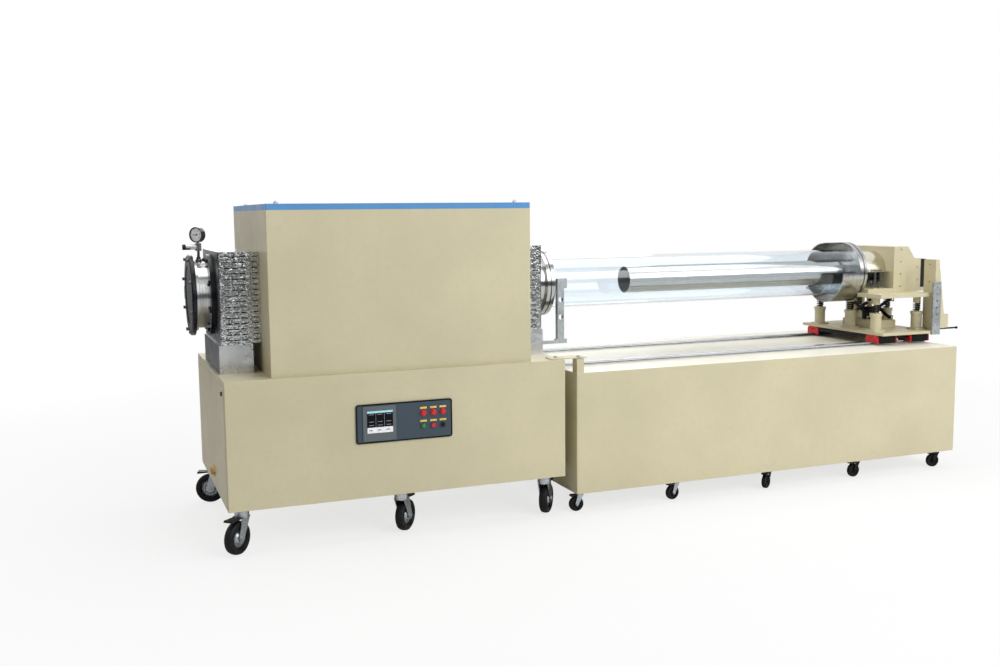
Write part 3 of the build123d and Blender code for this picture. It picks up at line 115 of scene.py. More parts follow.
def seen_directly(tree):
    """1 where a camera, glossy or transmitted ray looks, else 0."""
    path = tree.nodes.new("ShaderNodeLightPath")
    first = tree.nodes.new("ShaderNodeMath")
    first.operation = "MAXIMUM"
    tree.links.new(path.outputs["Is Camera Ray"], first.inputs[0])
    tree.links.new(path.outputs["Is Glossy Ray"], first.inputs[1])
    second = tree.nodes.new("ShaderNodeMath")
    second.operation = "MAXIMUM"
    tree.links.new(first.outputs[0], second.inputs[0])
    tree.links.new(path.outputs["Is Transmission Ray"], second.inputs[1])
    return second.outputs[0]


WORLD_FILL = 0.25           # strength of the light from all round
WORLD_TINT = (0.94, 0.97, 1.0, 1)
WHITE = (1, 1, 1, 1)


def make_world():
    """A soft fill for the light and plain white for what is looked at."""
    world = bpy.data.worlds.new("studio")
    bpy.context.scene.world = world
    world.use_nodes = True
    tree = world.node_tree
    tree.nodes.clear()
    shown = seen_directly(tree)
    fill = tree.nodes.new("ShaderNodeBackground")
    fill.inputs["Color"].default_value = WORLD_TINT
    fill.inputs["Strength"].default_value = WORLD_FILL
    white = tree.nodes.new("ShaderNodeBackground")
    white.inputs["Color"].default_value = WHITE
    white.inputs["Strength"].default_value = 1.0
    mix = tree.nodes.new("ShaderNodeMixShader")
    out = tree.nodes.new("ShaderNodeOutputWorld")
    tree.links.new(shown, mix.inputs[0])
    tree.links.new(fill.outputs[0], mix.inputs[1])
    tree.links.new(white.outputs[0], mix.inputs[2])
    tree.links.new(mix.outputs[0], out.inputs[0])


CARD_COLOUR = (0.05, 0.053, 0.06, 1)
UPRIGHT = math.radians(90)
CARDS = (("card_front", (0.2, -3.7, 1.08), (9.0, 1.14), (UPRIGHT, 0, 0)),
         ("card_left", (-4.3, -1.4, 1.1), (3.4, 1.3), (UPRIGHT, 0, math.radians(70))),
         ("card_top", (0.0, -1.2, 3.4), (7.0, 0.5), (0, 0, 0)))


def make_cards():
    """Dark cards that only reflections see, as a studio hangs round polished metal."""
    material = bpy.data.materials.new("card_black")
    material.use_nodes = True
    shader = material.node_tree.nodes["Principled BSDF"]
    shader.inputs["Base Color"].default_value = CARD_COLOUR
    shader.inputs["Roughness"].default_value = 0.9
    for name, centre, size, turn in CARDS:
        card = stage_plane(name, centre, size, turn)
        card.data.materials.append(material)
        card.visible_camera = False
        card.visible_diffuse = False
        card.visible_shadow = False
        card.visible_transmission = False


FLOOR_DROP = 0.0008         # below the wheels, so that no tread meets it
FLOOR_SIZE = 80.0
FLOOR_GREY = (0.86, 0.86, 0.86, 1)
FLOOR_FADE = (1.6, 5.2, 0.74, 1.0)      # near, far (in metres), and the share of plain white seen there


def make_floor():
    """A floor that takes shadows near the object and fades into plain white further off."""
    floor = stage_plane("floor", (0, 0, -FLOOR_DROP), (FLOOR_SIZE, FLOOR_SIZE))
    material = bpy.data.materials.new("floor_white")
    material.use_nodes = True
    tree = material.node_tree
    tree.nodes.clear()
    path = tree.nodes.new("ShaderNodeLightPath")
    seen = tree.nodes.new("ShaderNodeMath")
    seen.operation = "MAXIMUM"
    tree.links.new(path.outputs["Is Camera Ray"], seen.inputs[0])
    tree.links.new(path.outputs["Is Transmission Ray"], seen.inputs[1])
    lit = tree.nodes.new("ShaderNodeBsdfDiffuse")
    lit.inputs["Color"].default_value = FLOOR_GREY
    glow = tree.nodes.new("ShaderNodeEmission")
    glow.inputs["Color"].default_value = WHITE
    glow.inputs["Strength"].default_value = 1.0
    place = tree.nodes.new("ShaderNodeTexCoord")
    distance = tree.nodes.new("ShaderNodeVectorMath")
    distance.operation = "LENGTH"
    tree.links.new(place.outputs["Object"], distance.inputs[0])
    spread = tree.nodes.new("ShaderNodeMapRange")
    for key, value in zip(("From Min", "From Max", "To Min", "To Max"), FLOOR_FADE):
        spread.inputs[key].default_value = value
    tree.links.new(distance.outputs["Value"], spread.inputs["Value"])
    share = tree.nodes.new("ShaderNodeMath")
    share.operation = "MULTIPLY"
    tree.links.new(spread.outputs[0], share.inputs[1])
    tree.links.new(seen.outputs[0], share.inputs[0])
    mix = tree.nodes.new("ShaderNodeMixShader")
    out = tree.nodes.new("ShaderNodeOutputMaterial")
    tree.links.new(share.outputs[0], mix.inputs[0])
    tree.links.new(lit.outputs[0], mix.inputs[1])
    tree.links.new(glow.outputs[0], mix.inputs[2])
    tree.links.new(mix.outputs[0], out.inputs[0])
    floor.data.materials.append(material)


DAYLIGHT = (1.0, 1.0, 1.0)
WARM = (1.0, 0.70, 0.62)

# name, place, target, size in metres, power in watts and colour
LIGHTS = (("key", (2.6, -6.0, 4.4), (0.2, 0, 0.7), (7.0, 4.0), 385, DAYLIGHT),
          ("top", (0.3, 0.4, 5.0), (0.3, 0, 0.6), (7.0, 4.0), 170, DAYLIGHT),
          ("left_fill", (-5.5, -2.0, 2.6), (-1.2, 0, 0.9), (2.0, 3.0), 12, WARM),
          ("back", (0.5, 5.5, 3.2), (0, 0, 0.9), (6.0, 2.5), 90, DAYLIGHT))


def make_lights():
    for name, place, target, size, power, colour in LIGHTS:
        area_light(name, place, target, size, power, colour)


# ---------------------------------------------------------------- material building blocks
class Paint:
    """A node material built step by step around one Principled shader."""

    def __init__(self, name):
        self.material = bpy.data.materials.new(name)
        self.material.use_nodes = True
        self.tree = self.material.node_tree
        self.shader = self.tree.nodes["Principled BSDF"]
        self.place = self.add("ShaderNodeTexCoord").outputs["Object"]

    def add(self, kind, **settings):
        node = self.tree.nodes.new(kind)
        for key, value in settings.items():
            setattr(node, key, value)
        return node

    def link(self, source, target):
        self.tree.links.new(source, target)

    def set(self, **values):
        for key, value in values.items():
            self.shader.inputs[key.replace("_", " ")].default_value = value
        return self

    def stretched(self, scale):
        mapping = self.add("ShaderNodeMapping")
        mapping.inputs["Scale"].default_value = scale
        self.link(self.place, mapping.inputs["Vector"])
        return mapping.outputs[0]

    def noise(self, scale, detail=3.0, roughness=0.55, vector=None):
        node = self.add("ShaderNodeTexNoise")
        node.inputs["Scale"].default_value = scale
        node.inputs["Detail"].default_value = detail
        node.inputs["Roughness"].default_value = roughness
        self.link(vector or self.place, node.inputs["Vector"])
        return node.outputs["Fac"]

    def ramp(self, fac, low, high, at=(0.35, 0.65)):
        node = self.add("ShaderNodeValToRGB")
        first, last = node.color_ramp.elements
        first.position, last.position = at
        first.color = (*low, 1)
        last.color = (*high, 1)
        self.link(fac, node.inputs[0])
        return node.outputs["Color"]

    def span(self, fac, low, high, start=0.3, end=0.7):
        node = self.add("ShaderNodeMapRange")
        for key, value in zip(("From Min", "From Max", "To Min", "To Max"), (start, end, low, high)):
            node.inputs[key].default_value = value
        self.link(fac, node.inputs["Value"])
        return node.outputs[0]

    def blended(self, fac, socket, colour):
        """The socket's colour, turning into a plain one where fac is high."""
        node = self.add("ShaderNodeMix", data_type="RGBA")
        fac_in, first_in, second_in = node.inputs[0], node.inputs[6], node.inputs[7]
        self.link(fac, fac_in)
        self.link(socket, first_in)
        second_in.default_value = (*colour, 1)
        return node.outputs[2]

    def colour(self, socket):
        self.link(socket, self.shader.inputs["Base Color"])
        return self

    def rough(self, socket):
        self.link(socket, self.shader.inputs["Roughness"])
        return self

    def edges(self, radius):
        """Softens crisp edges in the shading, as folded or machined edges are."""
        node = self.add("ShaderNodeBevel", samples=4)
        node.inputs["Radius"].default_value = radius
        return node.outputs[0]

    def bump(self, height, strength, distance, normal=None):
        node = self.add("ShaderNodeBump")
        node.inputs["Strength"].default_value = strength
        node.inputs["Distance"].default_value = distance
        self.link(height, node.inputs["Height"])
        if normal is not None:
            self.link(normal, node.inputs["Normal"])
        self.link(node.outputs[0], self.shader.inputs["Normal"])
        return self


def linear(red, green, blue):
    """A colour written as 0-255 screen values, as the shader wants it."""
    def one(value):
        value /= 255
        return value / 12.92 if value <= 0.04045 else ((value + 0.055) / 1.055) ** 2.4
    return (one(red), one(green), one(blue))


def shaded(colour, share):
    return tuple(min(1.0, channel * share) for channel in colour)


def coated(name, colour, rough=0.42, grain=650.0, depth=0.00012, edge=0.0015, spread=0.045, shine=0.42):
    """Powder-coated sheet: fine orange peel, faint cloudiness and a little dust."""
    paint = Paint(name)
    clouds = paint.noise(scale=2.2, detail=4.0)
    tint = paint.ramp(clouds, shaded(colour, 1 - spread), shaded(colour, 1 + spread))
    dust = paint.span(paint.noise(scale=38.0, detail=5.0), low=0.0, high=0.35, start=0.5, end=0.75)
    paint.colour(paint.blended(dust, tint, shaded(colour, 0.9)))
    paint.rough(paint.span(paint.noise(scale=14.0, detail=4.0), rough - 0.05, rough + 0.07))
    paint.set(Specular_IOR_Level=shine)
    peel = paint.noise(grain, detail=2.0)
    paint.bump(peel, strength=0.25, distance=depth, normal=paint.edges(edge) if edge else None)
    return paint.material


def metal(name, colour, rough, grain, spread, depth=0.00006, edge=0.0008):
    """Brushed or turned metal: fine lines along one direction and cloudy gloss."""
    paint = Paint(name)
    lines = paint.noise(1.0, detail=3.0, roughness=0.6, vector=paint.stretched(grain))
    tint = paint.ramp(lines, shaded(colour, 1 - spread), shaded(colour, 1 + spread), at=(0.3, 0.7))
    paint.colour(tint)
    smudge = paint.noise(scale=9.0, detail=4.0)
    paint.rough(paint.span(smudge, rough * 0.75, rough * 1.35))
    paint.set(Metallic=1.0)
    paint.bump(lines, strength=0.12, distance=depth, normal=paint.edges(edge))
    return paint.material


def plastic(name, colour, rough, grain=400.0, depth=0.00008, edge=0.0006, shine=0.5):
    """Moulded plastic, rubber or a printed plate: fine grain and slightly uneven gloss."""
    paint = Paint(name)
    mottle = paint.noise(scale=60.0, detail=3.0)
    paint.colour(paint.ramp(mottle, shaded(colour, 0.88), shaded(colour, 1.12)))
    paint.rough(paint.span(paint.noise(scale=25.0, detail=3.0), rough - 0.05, rough + 0.1))
    paint.set(Specular_IOR_Level=shine)
    peel = paint.noise(grain, detail=2.0)
    paint.bump(peel, strength=0.2, distance=depth, normal=paint.edges(edge))
    return paint.material


SHEET_WAVE = 0.004          # depth of a thin sheet's waves
SHEET_EDGE = 0.0008


def sheet_steel(name, colour, rough, wave, dent=0.35):
    """Thin polished sheet: gently wavy, so reflections break up over it."""
    paint = Paint(name)
    patches = paint.noise(scale=7.0, detail=4.0)
    paint.colour(paint.ramp(patches, shaded(colour, 0.82), shaded(colour, 1.1)))
    paint.rough(paint.span(paint.noise(scale=11.0, detail=4.0), rough * 0.6, rough * 1.5))
    paint.set(Metallic=1.0)
    waves = paint.noise(wave, detail=3.0)
    paint.bump(waves, strength=dent, distance=SHEET_WAVE, normal=paint.edges(SHEET_EDGE))
    return paint.material


def glass(name, tint, pale_tint):
    """Clear tube glass with slight drawing lines along X."""
    paint = Paint(name)
    paint.set(Transmission_Weight=1.0, IOR=1.46)
    paint.colour(paint.ramp(paint.noise(scale=1.4, detail=2.0), tint, pale_tint))
    paint.rough(paint.span(paint.noise(scale=6.0, detail=3.0), 0.0, 0.035))
    drawn = paint.noise(3.0, detail=2.0, roughness=0.4, vector=paint.stretched((0.6, 5.0, 5.0)))
    paint.bump(drawn, strength=0.06, distance=0.002)
    return paint.material


# ---------------------------------------------------------------- the materials themselves
M = {}


def even(scale):
    """Grain with no direction."""
    return (scale, scale, scale)


def make_materials():
    make_coats()
    make_metals()
    make_plastics()
    M["fibre"] = coated("ceramic_fibre", linear(236, 234, 228), rough=0.85, grain=120.0,
                        depth=0.0012, edge=0.0)
    M["ceramic"] = coated("white_ceramic", linear(230, 226, 216), rough=0.5, grain=220.0,
                          depth=0.0003, edge=0.0)
    M["glass"] = glass("fused_silica", (0.87, 0.92, 0.96), (0.91, 0.95, 0.975))


def make_coats():
    M["beige"] = coated("beige_coat", linear(203, 195, 163))
    # Painted highlight: a paler copy of the beige coat, for faces lit from above.
    M["beige_light"] = coated("beige_coat_painted_highlight", linear(236, 232, 217))
    M["blue"] = coated("blue_coat", linear(92, 150, 205), rough=0.38, shine=0.22)
    M["slate"] = coated("slate_coat", linear(58, 72, 84), rough=0.4, grain=900.0)
    M["bezel"] = coated("bezel_coat", linear(92, 102, 106), rough=0.4, grain=900.0)
    M["black_coat"] = coated("black_coat", linear(14, 17, 24), rough=0.28, grain=500.0,
                             edge=0.001, spread=0.2, shine=0.3)
    M["black_steel"] = coated("black_oxide", linear(9, 9, 12), rough=0.38, grain=500.0,
                              edge=0.0008, spread=0.25, shine=0.22)


def make_metals():
    M["steel"] = metal("turned_steel", (0.46, 0.465, 0.46), 0.2, grain=(420.0, 8.0, 8.0), spread=0.3)
    M["carrier_steel"] = metal("carrier_steel", (0.52, 0.515, 0.49), 0.13, grain=(30.0, 700.0, 700.0),
                               spread=0.08)
    # Painted shade: a darker, duller copy of the carrier steel for the tube's inside, where shade falls.
    M["inside_steel"] = metal("carrier_inside_painted_shade", (0.20, 0.23, 0.27), 0.4, grain=(30.0, 300.0, 300.0),
                              spread=0.2)
    M["warm_steel"] = metal("warm_steel", (0.70, 0.66, 0.55), 0.18, grain=(300.0, 20.0, 20.0), spread=0.1)
    M["zinc"] = metal("zinc_plate", (0.46, 0.50, 0.54), 0.3, grain=even(120.0), spread=0.16)
    M["galvanised"] = metal("galvanised", (0.42, 0.45, 0.46), 0.4, grain=even(55.0), spread=0.22,
                            depth=0.0001)
    M["chrome"] = metal("chrome_fitting", (0.58, 0.59, 0.60), 0.12, grain=(300.0, 300.0, 60.0), spread=0.06)
    M["dark_chrome"] = metal("dark_chrome", (0.13, 0.14, 0.15), 0.2, grain=even(200.0), spread=0.15)
    M["rail"] = metal("rail_steel", (0.42, 0.43, 0.44), 0.16, grain=(25.0, 900.0, 900.0), spread=0.12)
    M["brass"] = metal("brass", (0.60, 0.42, 0.16), 0.3, grain=even(200.0), spread=0.1)
    M["guard_steel"] = sheet_steel("guard_steel", (0.55, 0.57, 0.56), 0.14, wave=26.0)
    M["louvre_steel"] = sheet_steel("louvre_steel", (0.66, 0.68, 0.66), 0.12, wave=62.0, dent=0.75)
    M["skirt_steel"] = sheet_steel("skirt_steel", (0.62, 0.64, 0.64), 0.3, wave=14.0)


def make_plastics():
    M["black_trim"] = plastic("black_trim", linear(12, 13, 15), 0.4, shine=0.15)
    M["red"] = plastic("red_plastic", linear(214, 24, 34), 0.25)
    M["green"] = plastic("green_plastic", linear(20, 128, 62), 0.25)
    M["yellow"] = plastic("yellow_plate", linear(228, 200, 96), 0.45)
    M["black"] = plastic("black_plastic", linear(17, 17, 19), 0.38, shine=0.3)
    M["rubber"] = plastic("tyre_rubber", linear(15, 14, 16), 0.5, grain=250.0, depth=0.0002, shine=0.25)
    M["maroon"] = plastic("wheel_core", linear(82, 40, 40), 0.45, grain=180.0, depth=0.0003)
    M["dial_white"] = plastic("dial_white", linear(250, 251, 252), 0.45)
    M["dial_black"] = plastic("dial_black", linear(18, 18, 20), 0.5)
    M["screen_black"] = plastic("screen_black", linear(8, 9, 14), 0.15, shine=0.12)
    M["screen_white"] = plastic("screen_white", linear(244, 244, 248), 0.3)
    M["screen_blue"] = plastic("screen_blue", linear(172, 232, 244), 0.3)
    M["screen_grey"] = plastic("screen_grey", linear(150, 154, 168), 0.3)


# ---------------------------------------------------------------- dressing the CAD nodes
def islands(node):
    """The separate solids of a node: (polygon indices, lowest corner, highest corner)."""
    mesh = NODES[node].data
    world = NODES[node].matrix_world
    keys = {}
    parent = []

    def find(a):
        while parent[a] != a:
            parent[a] = parent[parent[a]]
            a = parent[a]
        return a

    owner = []
    for vertex in mesh.vertices:
        key = tuple(round(c, 6) for c in vertex.co)
        if key not in keys:
            keys[key] = len(parent)
            parent.append(len(parent))
        owner.append(keys[key])
    for polygon in mesh.polygons:
        first = find(owner[polygon.vertices[0]])
        for index in polygon.vertices[1:]:
            parent[find(owner[index])] = first
    groups = {}
    for polygon in mesh.polygons:
        groups.setdefault(find(owner[polygon.vertices[0]]), []).append(polygon.index)
    result = []
    for indices in groups.values():
        points = [world @ mesh.vertices[v].co for i in indices for v in mesh.polygons[i].vertices]
        low = Vector(tuple(min(p[k] for p in points) for k in range(3)))
        high = Vector(tuple(max(p[k] for p in points) for k in range(3)))
        result.append((indices, low, high))
    return result


SMOOTH_ANGLE = math.radians(35)     # edges sharper than this stay crisp


def dress(node, *materials, choose=None, pick=None):
    """Give a CAD node its materials.

    choose(low, high) picks the slot of a solid, and pick(centre, normal) that of a single face.
    """
    obj = NODES[node]
    mesh = obj.data
    mesh.materials.clear()
    for material in materials:
        mesh.materials.append(material)
    if choose:
        for indices, low, high in islands(node):
            slot = choose(low, high)
            for i in indices:
                mesh.polygons[i].material_index = slot
    if pick:
        for polygon in mesh.polygons:
            slot = pick(obj.matrix_world @ polygon.center, polygon.normal)
            if slot is not None:
                polygon.material_index = slot
    mesh.shade_smooth()
    mesh.set_sharp_from_angle(angle=SMOOTH_ANGLE)


def beyond(size, limit):
    return 0 if size > limit else 1


# Sizes that tell the solids and faces of a node apart, in metres
FACING = 0.9                # how far along an axis a face's normal points when it faces that way
LOCK_SIZE = 0.03            # the lock is narrower than this along X and Y, the gland along X
GLAND_SIZE = 0.08           # the gland is narrower than this along Y
NUT_SIZE = 1.0              # the lid is longer than this, its nuts are shorter
SKIRT_HEIGHT = 0.128        # plain sheet below a tube guard's louvres
GUARD_END = 0.02            # the left guard's black end face lies this near its end
BOLT_SIZE = 0.1             # bolts, screws, ties and the pump body are narrower than this along Y
BLACK_RING = 0.032          # thickness of the left flange's coated ring, and the
BLACK_RING_INNER = 0.157    # radius past which its faces are coated
DIAL_CASE = 0.0725          # from the gauge's top down to the bottom of its dark case
DOCK_BOLT = 0.03            # the docking bolts are narrower than this along X


def dress_furnace():
    def cabinet_piece(low, high):
        size = high - low
        if size.x < LOCK_SIZE and size.y < LOCK_SIZE:
            return 1        # lock
        if size.x < LOCK_SIZE and size.y < GLAND_SIZE:
            return 2        # gland
        return 0
    dress("base_cabinet", M["beige"], M["black"], M["brass"], choose=cabinet_piece)
    dress("caster_mounts", M["zinc"])
    dress("hood_shell", M["beige"])
    dress("hood_lid", M["blue"], M["zinc"], choose=lambda low, high: beyond((high - low).x, NUT_SIZE))
    dress("insulation", M["fibre"])
    dress("heating_elements", M["ceramic"])
    dress("process_tube", M["ceramic"])
    guard_low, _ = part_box("tube_guards")
    skirt_top = guard_low.z + SKIRT_HEIGHT

    def guard_face(centre, normal):
        if normal.x < -FACING and centre.x < guard_low.x + GUARD_END:
            return 1
        return 2 if centre.z < skirt_top else 0
    dress("tube_guards", M["guard_steel"], M["black_coat"], M["skirt_steel"], pick=guard_face)
    dress("guard_louvres", M["louvre_steel"])

    def flange_piece(low, high):
        return beyond((high - low).y, BOLT_SIZE)
    ring_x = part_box("left_flange")[1].x - BLACK_RING

    def ring_face(centre, normal):
        radius = math.hypot(centre.y, centre.z - TUBE_Z)
        return 2 if centre.x > ring_x and radius > BLACK_RING_INNER else None
    dress("left_flange", M["steel"], M["zinc"], M["black_coat"],
          choose=flange_piece, pick=ring_face)
    dress("right_flange", M["steel"], M["zinc"], choose=flange_piece)
    dial_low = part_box("gauge_assembly")[1].z - DIAL_CASE
    dress("gauge_assembly", M["chrome"], M["dark_chrome"],
          pick=lambda centre, normal: 1 if centre.z > dial_low else 0)
    dress("valve_knob", M["black"])
    dress("end_door", M["black_coat"], M["dark_chrome"], choose=flange_piece)
    dress("tube_guides", M["galvanised"])
    dress("docking_link", M["beige"], M["zinc"],
          choose=lambda low, high: beyond((high - low).x, DOCK_BOLT))


PLATE_LENGTH = 0.3          # only the panel's own plate is longer than this
HOUSING_LENGTH = 0.1        # and besides it only the screen's housing than this
LABEL_HEIGHT = 0.012        # the label plates are lower than this
LAMP_DEPTH = 0.008          # the lamps stand out further than this, the collars don't


def dress_panel():
    def piece(low, high):
        size = high - low
        if size.x > PLATE_LENGTH:
            return 0
        if size.x > HOUSING_LENGTH:
            return 1
        if size.z < LABEL_HEIGHT:
            return 2
        return 3 if size.y > LAMP_DEPTH else 4
    dress("control_panel", M["slate"], M["bezel"], M["yellow"], M["red"], M["black_trim"], choose=piece)
    dress("start_button", M["green"])
    dress("stop_button", M["red"])
    dress("selector_switch", M["black"])


def dress_table():
    # Painted highlight: every upward face of the table cabinet takes the paler beige, as if lit from above.
    dress("table_cabinet", M["beige"], M["beige_light"],
          pick=lambda centre, normal: 1 if normal.z > FACING else 0)
    dress("guide_rails", M["rail"])


PIN_HEIGHT = 0.03           # only the lever's pin is lower than this
UPRIGHT_THICKNESS = 0.02    # the galvanised uprights are thinner than this along Y
PAD_THICKNESS = 0.06        # the head's end pad starts within this of its end
COVER_MARGIN = 0.01         # the coupling cover starts at the tube's axis, give or take this,
                            # and ends more than this below the head's top
CARRIER_SKIN = 0.002        # faces deeper than this below the carrier's outside are its inside


def dress_carriage():
    dress("carriage_plate", M["beige"])
    dress("bearing_blocks", M["black_steel"])
    dress("block_end_seals", M["red"])
    dress("spring_posts", M["beige"])
    dress("lift_springs", M["black_steel"])
    dress("lift_base_frame", M["beige"], M["black_steel"],
          choose=lambda low, high: beyond((high - low).y, BOLT_SIZE))

    def bracket_piece(low, high):
        size = high - low
        if size.z < PIN_HEIGHT:
            return 2
        return 1 if size.y < UPRIGHT_THICKNESS else 0
    dress("end_brackets", M["beige"], M["galvanised"], M["black_steel"], choose=bracket_piece)
    dress("lift_platform", M["beige"])
    dress("scissor_arms_outer", M["black_steel"])
    dress("scissor_arms_inner", M["black_steel"])
    dress("lift_lever", M["black_steel"])
    _, head_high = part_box("head_frame")

    def head_piece(low, high):
        if low.x > head_high.x - PAD_THICKNESS:
            return 1
        is_cover = low.z > TUBE_Z - COVER_MARGIN and high.z < head_high.z - COVER_MARGIN
        return 2 if is_cover else 0
    dress("head_frame", M["beige"], M["black"], M["warm_steel"], choose=head_piece)
    dress("coupling_hub", M["dark_chrome"], M["chrome"],
          choose=lambda low, high: beyond((high - low).y, BOLT_SIZE))
    dress("cradle_flange", M["steel"])
    dress("quartz_tube", M["glass"])
    _, carrier_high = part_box("carrier_tube")
    inner = carrier_high.z - TUBE_Z - CARRIER_SKIN

    def carrier_face(centre, normal):
        return 1 if math.hypot(centre.y, centre.z - TUBE_Z) < inner else 0
    # Painted shade: the faces inside the carrier tube take the darker steel.
    dress("carrier_tube", M["carrier_steel"], M["inside_steel"], pick=carrier_face)


TYRE_MARGIN = 0.01          # a big wheel's tyre reaches this near its top
HUB_SHARE = 0.55            # how much of a big wheel's radius its bright hub takes
BASE_PEDAL_BOTTOM = 0.15    # the big forks' pedals lie wholly above this
TABLE_PEDAL_BOTTOM = 0.06
TABLE_TYRE_BOTTOM = 0.004   # only a tyre reaches down to the floor
BRIGHT_CASTERS = (1, 2, 6, 7)


def dress_casters():
    for i in range(1, 7):
        wheel_low, wheel_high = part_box(f"base_wheel_{i}")
        middle = (wheel_low + wheel_high) / 2
        tyre_top = wheel_high.z - TYRE_MARGIN
        hub = HUB_SHARE * middle.z
        dress(f"base_wheel_{i}", M["maroon"], M["rubber"], M["zinc"],
              choose=lambda low, high: 1 if high.z > tyre_top else 0,
              pick=lambda centre, normal: 2 if (centre - middle).length < hub else None)
        dress(f"base_fork_{i}", M["zinc"], M["black"],
              choose=lambda low, high: 1 if low.z > BASE_PEDAL_BOTTOM else 0)

    def table_piece(low, high):
        if low.z > TABLE_PEDAL_BOTTOM:
            return 1
        return 2 if low.z < TABLE_TYRE_BOTTOM else 0
    for i in range(1, 11):
        fork = M["zinc"] if i in BRIGHT_CASTERS else M["black_steel"]
        dress(f"table_caster_{i}", fork, M["black"], M["rubber"], choose=table_piece)


# ---------------------------------------------------------------- pieces only the eye needs
def mesh_piece(name, points, faces, material, body="furnace", smooth=False):
    """A piece of the visual model alone, which moves with one body."""
    mesh = bpy.data.meshes.new(name)
    mesh.from_pydata([tuple(point) for point in points], [], faces)
    mesh.materials.append(material)
    piece = bpy.data.objects.new(name, mesh)
    bpy.context.scene.collection.objects.link(piece)
    made = bmesh.new()
    made.from_mesh(mesh)
    bmesh.ops.recalc_face_normals(made, faces=made.faces)
    made.to_mesh(mesh)
    made.free()
    if smooth:
        mesh.shade_smooth()
    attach(piece, body)
    return piece


class Sheet:
    """Flat shapes drawn at (across, up) on a plane and raised off it."""

    def __init__(self, origin, across, up, out):
        self.origin, self.across, self.up, self.out = origin, across, up, out

    def at(self, u, v, w):
        return self.origin + self.across * u + self.up * v + self.out * w

    def prism(self, name, outline, layer, material):
        """An outline raised between the two heights of a layer."""
        low, high = layer
        count = len(outline)
        points = [self.at(u, v, low) for u, v in outline] + [self.at(u, v, high) for u, v in outline]
        faces = [tuple(range(count)), tuple(range(count, 2 * count))]
        for i in range(count):
            j = (i + 1) % count
            faces.append((i, j, count + j, count + i))
        return mesh_piece(name, points, faces, material)

    def bar(self, name, across, up, layer, material):
        (u0, u1), (v0, v1) = across, up
        return self.prism(name, [(u0, v0), (u1, v0), (u1, v1), (u0, v1)], layer, material)

    def disc(self, name, radius, layer, material, sides=48):
        ring = [(radius * math.cos(2 * math.pi * i / sides), radius * math.sin(2 * math.pi * i / sides))
                for i in range(sides)]
        return self.prism(name, ring, layer, material)

    def spoke(self, name, angle, reach, widths, layer, material):
        """A bar along a clock hand's line, from its inner to its outer reach and width."""
        turn = math.radians(angle)
        along, side = (math.sin(turn), math.cos(turn)), (math.cos(turn), -math.sin(turn))
        (inner, outer), (near, far) = reach, widths
        corners = ((inner, -near), (inner, near), (outer, far), (outer, -far))
        outline = [(along[0] * r + side[0] * s / 2, along[1] * r + side[1] * s / 2) for r, s in corners]
        return self.prism(name, outline, layer, material)


DIAL_TURN = math.radians(42)        # from facing the front, towards the left
DIAL_OUT = 0.029            # the dial's middle, left of the base's left end
DIAL_DROP = 0.036           # and below the gauge's top
DIAL_FACE = 0.008           # the recessed face, in front of the dial's own middle plane
DIAL_REACH = 0.0315
DIAL_SWEEP = 135.0          # degrees to each side of the top
DIAL_MARKS = 20
LONG_EVERY = 4
LONG_MARK = (0.76, 0.0011)  # where it starts, as a share of the reach, and its width
SHORT_MARK = (0.83, 0.0006)
MARK_END = 0.92
NUMBER_AT = 0.58
POINTER_ANGLE = -96.0
POINTER_SPAN = (-DIAL_REACH * 0.25, DIAL_REACH * 0.74)
POINTER_WIDTHS = (0.0024, 0.0007)
POINTER_HUB = 0.0036
POINTER_HUB_SIDES = 24

# From and to which height over the dial's middle plane each thing lies
FACE_LAYER = (DIAL_FACE + 0.0001, DIAL_FACE + 0.0008)
MARK_LAYER = (DIAL_FACE + 0.0007, DIAL_FACE + 0.0011)
NUMBER_HEIGHT = DIAL_FACE + 0.0008
POINTER_LAYER = (DIAL_FACE + 0.0016, DIAL_FACE + 0.0022)
POINTER_HUB_LAYER = (DIAL_FACE + 0.0007, DIAL_FACE + 0.0032)


def mark_angle(i):
    return -DIAL_SWEEP + 2 * DIAL_SWEEP * i / DIAL_MARKS


def build_gauge_face():
    _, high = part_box("gauge_assembly")
    out = Vector((-math.sin(DIAL_TURN), -math.cos(DIAL_TURN), 0))
    across = Vector((math.cos(DIAL_TURN), -math.sin(DIAL_TURN), 0))
    centre = Vector((BASE_LEFT - DIAL_OUT, 0, high.z - DIAL_DROP))
    dial = Sheet(centre, across, Vector((0, 0, 1)), out)
    dial.disc("gauge_face", DIAL_REACH, FACE_LAYER, M["dial_white"])
    for i in range(DIAL_MARKS + 1):
        start, width = SHORT_MARK if i % LONG_EVERY else LONG_MARK
        reach = (DIAL_REACH * start, DIAL_REACH * MARK_END)
        dial.spoke(f"gauge_mark_{i}", mark_angle(i), reach, (width, width), MARK_LAYER, M["dial_black"])
    for i in range(0, DIAL_MARKS + 1, LONG_EVERY):
        angle = math.radians(mark_angle(i))
        place = dial.at(math.sin(angle) * DIAL_REACH * NUMBER_AT,
                        math.cos(angle) * DIAL_REACH * NUMBER_AT, NUMBER_HEIGHT)
        build_number(f"gauge_number_{i}", str(i // 2), place, dial)
    dial.spoke("gauge_pointer", POINTER_ANGLE, POINTER_SPAN, POINTER_WIDTHS, POINTER_LAYER, M["dial_black"])
    dial.disc("gauge_pointer_hub", POINTER_HUB, POINTER_HUB_LAYER, M["dial_black"], POINTER_HUB_SIDES)


NUMBER_SIZE = 0.0078
NUMBER_DEPTH = 0.0002


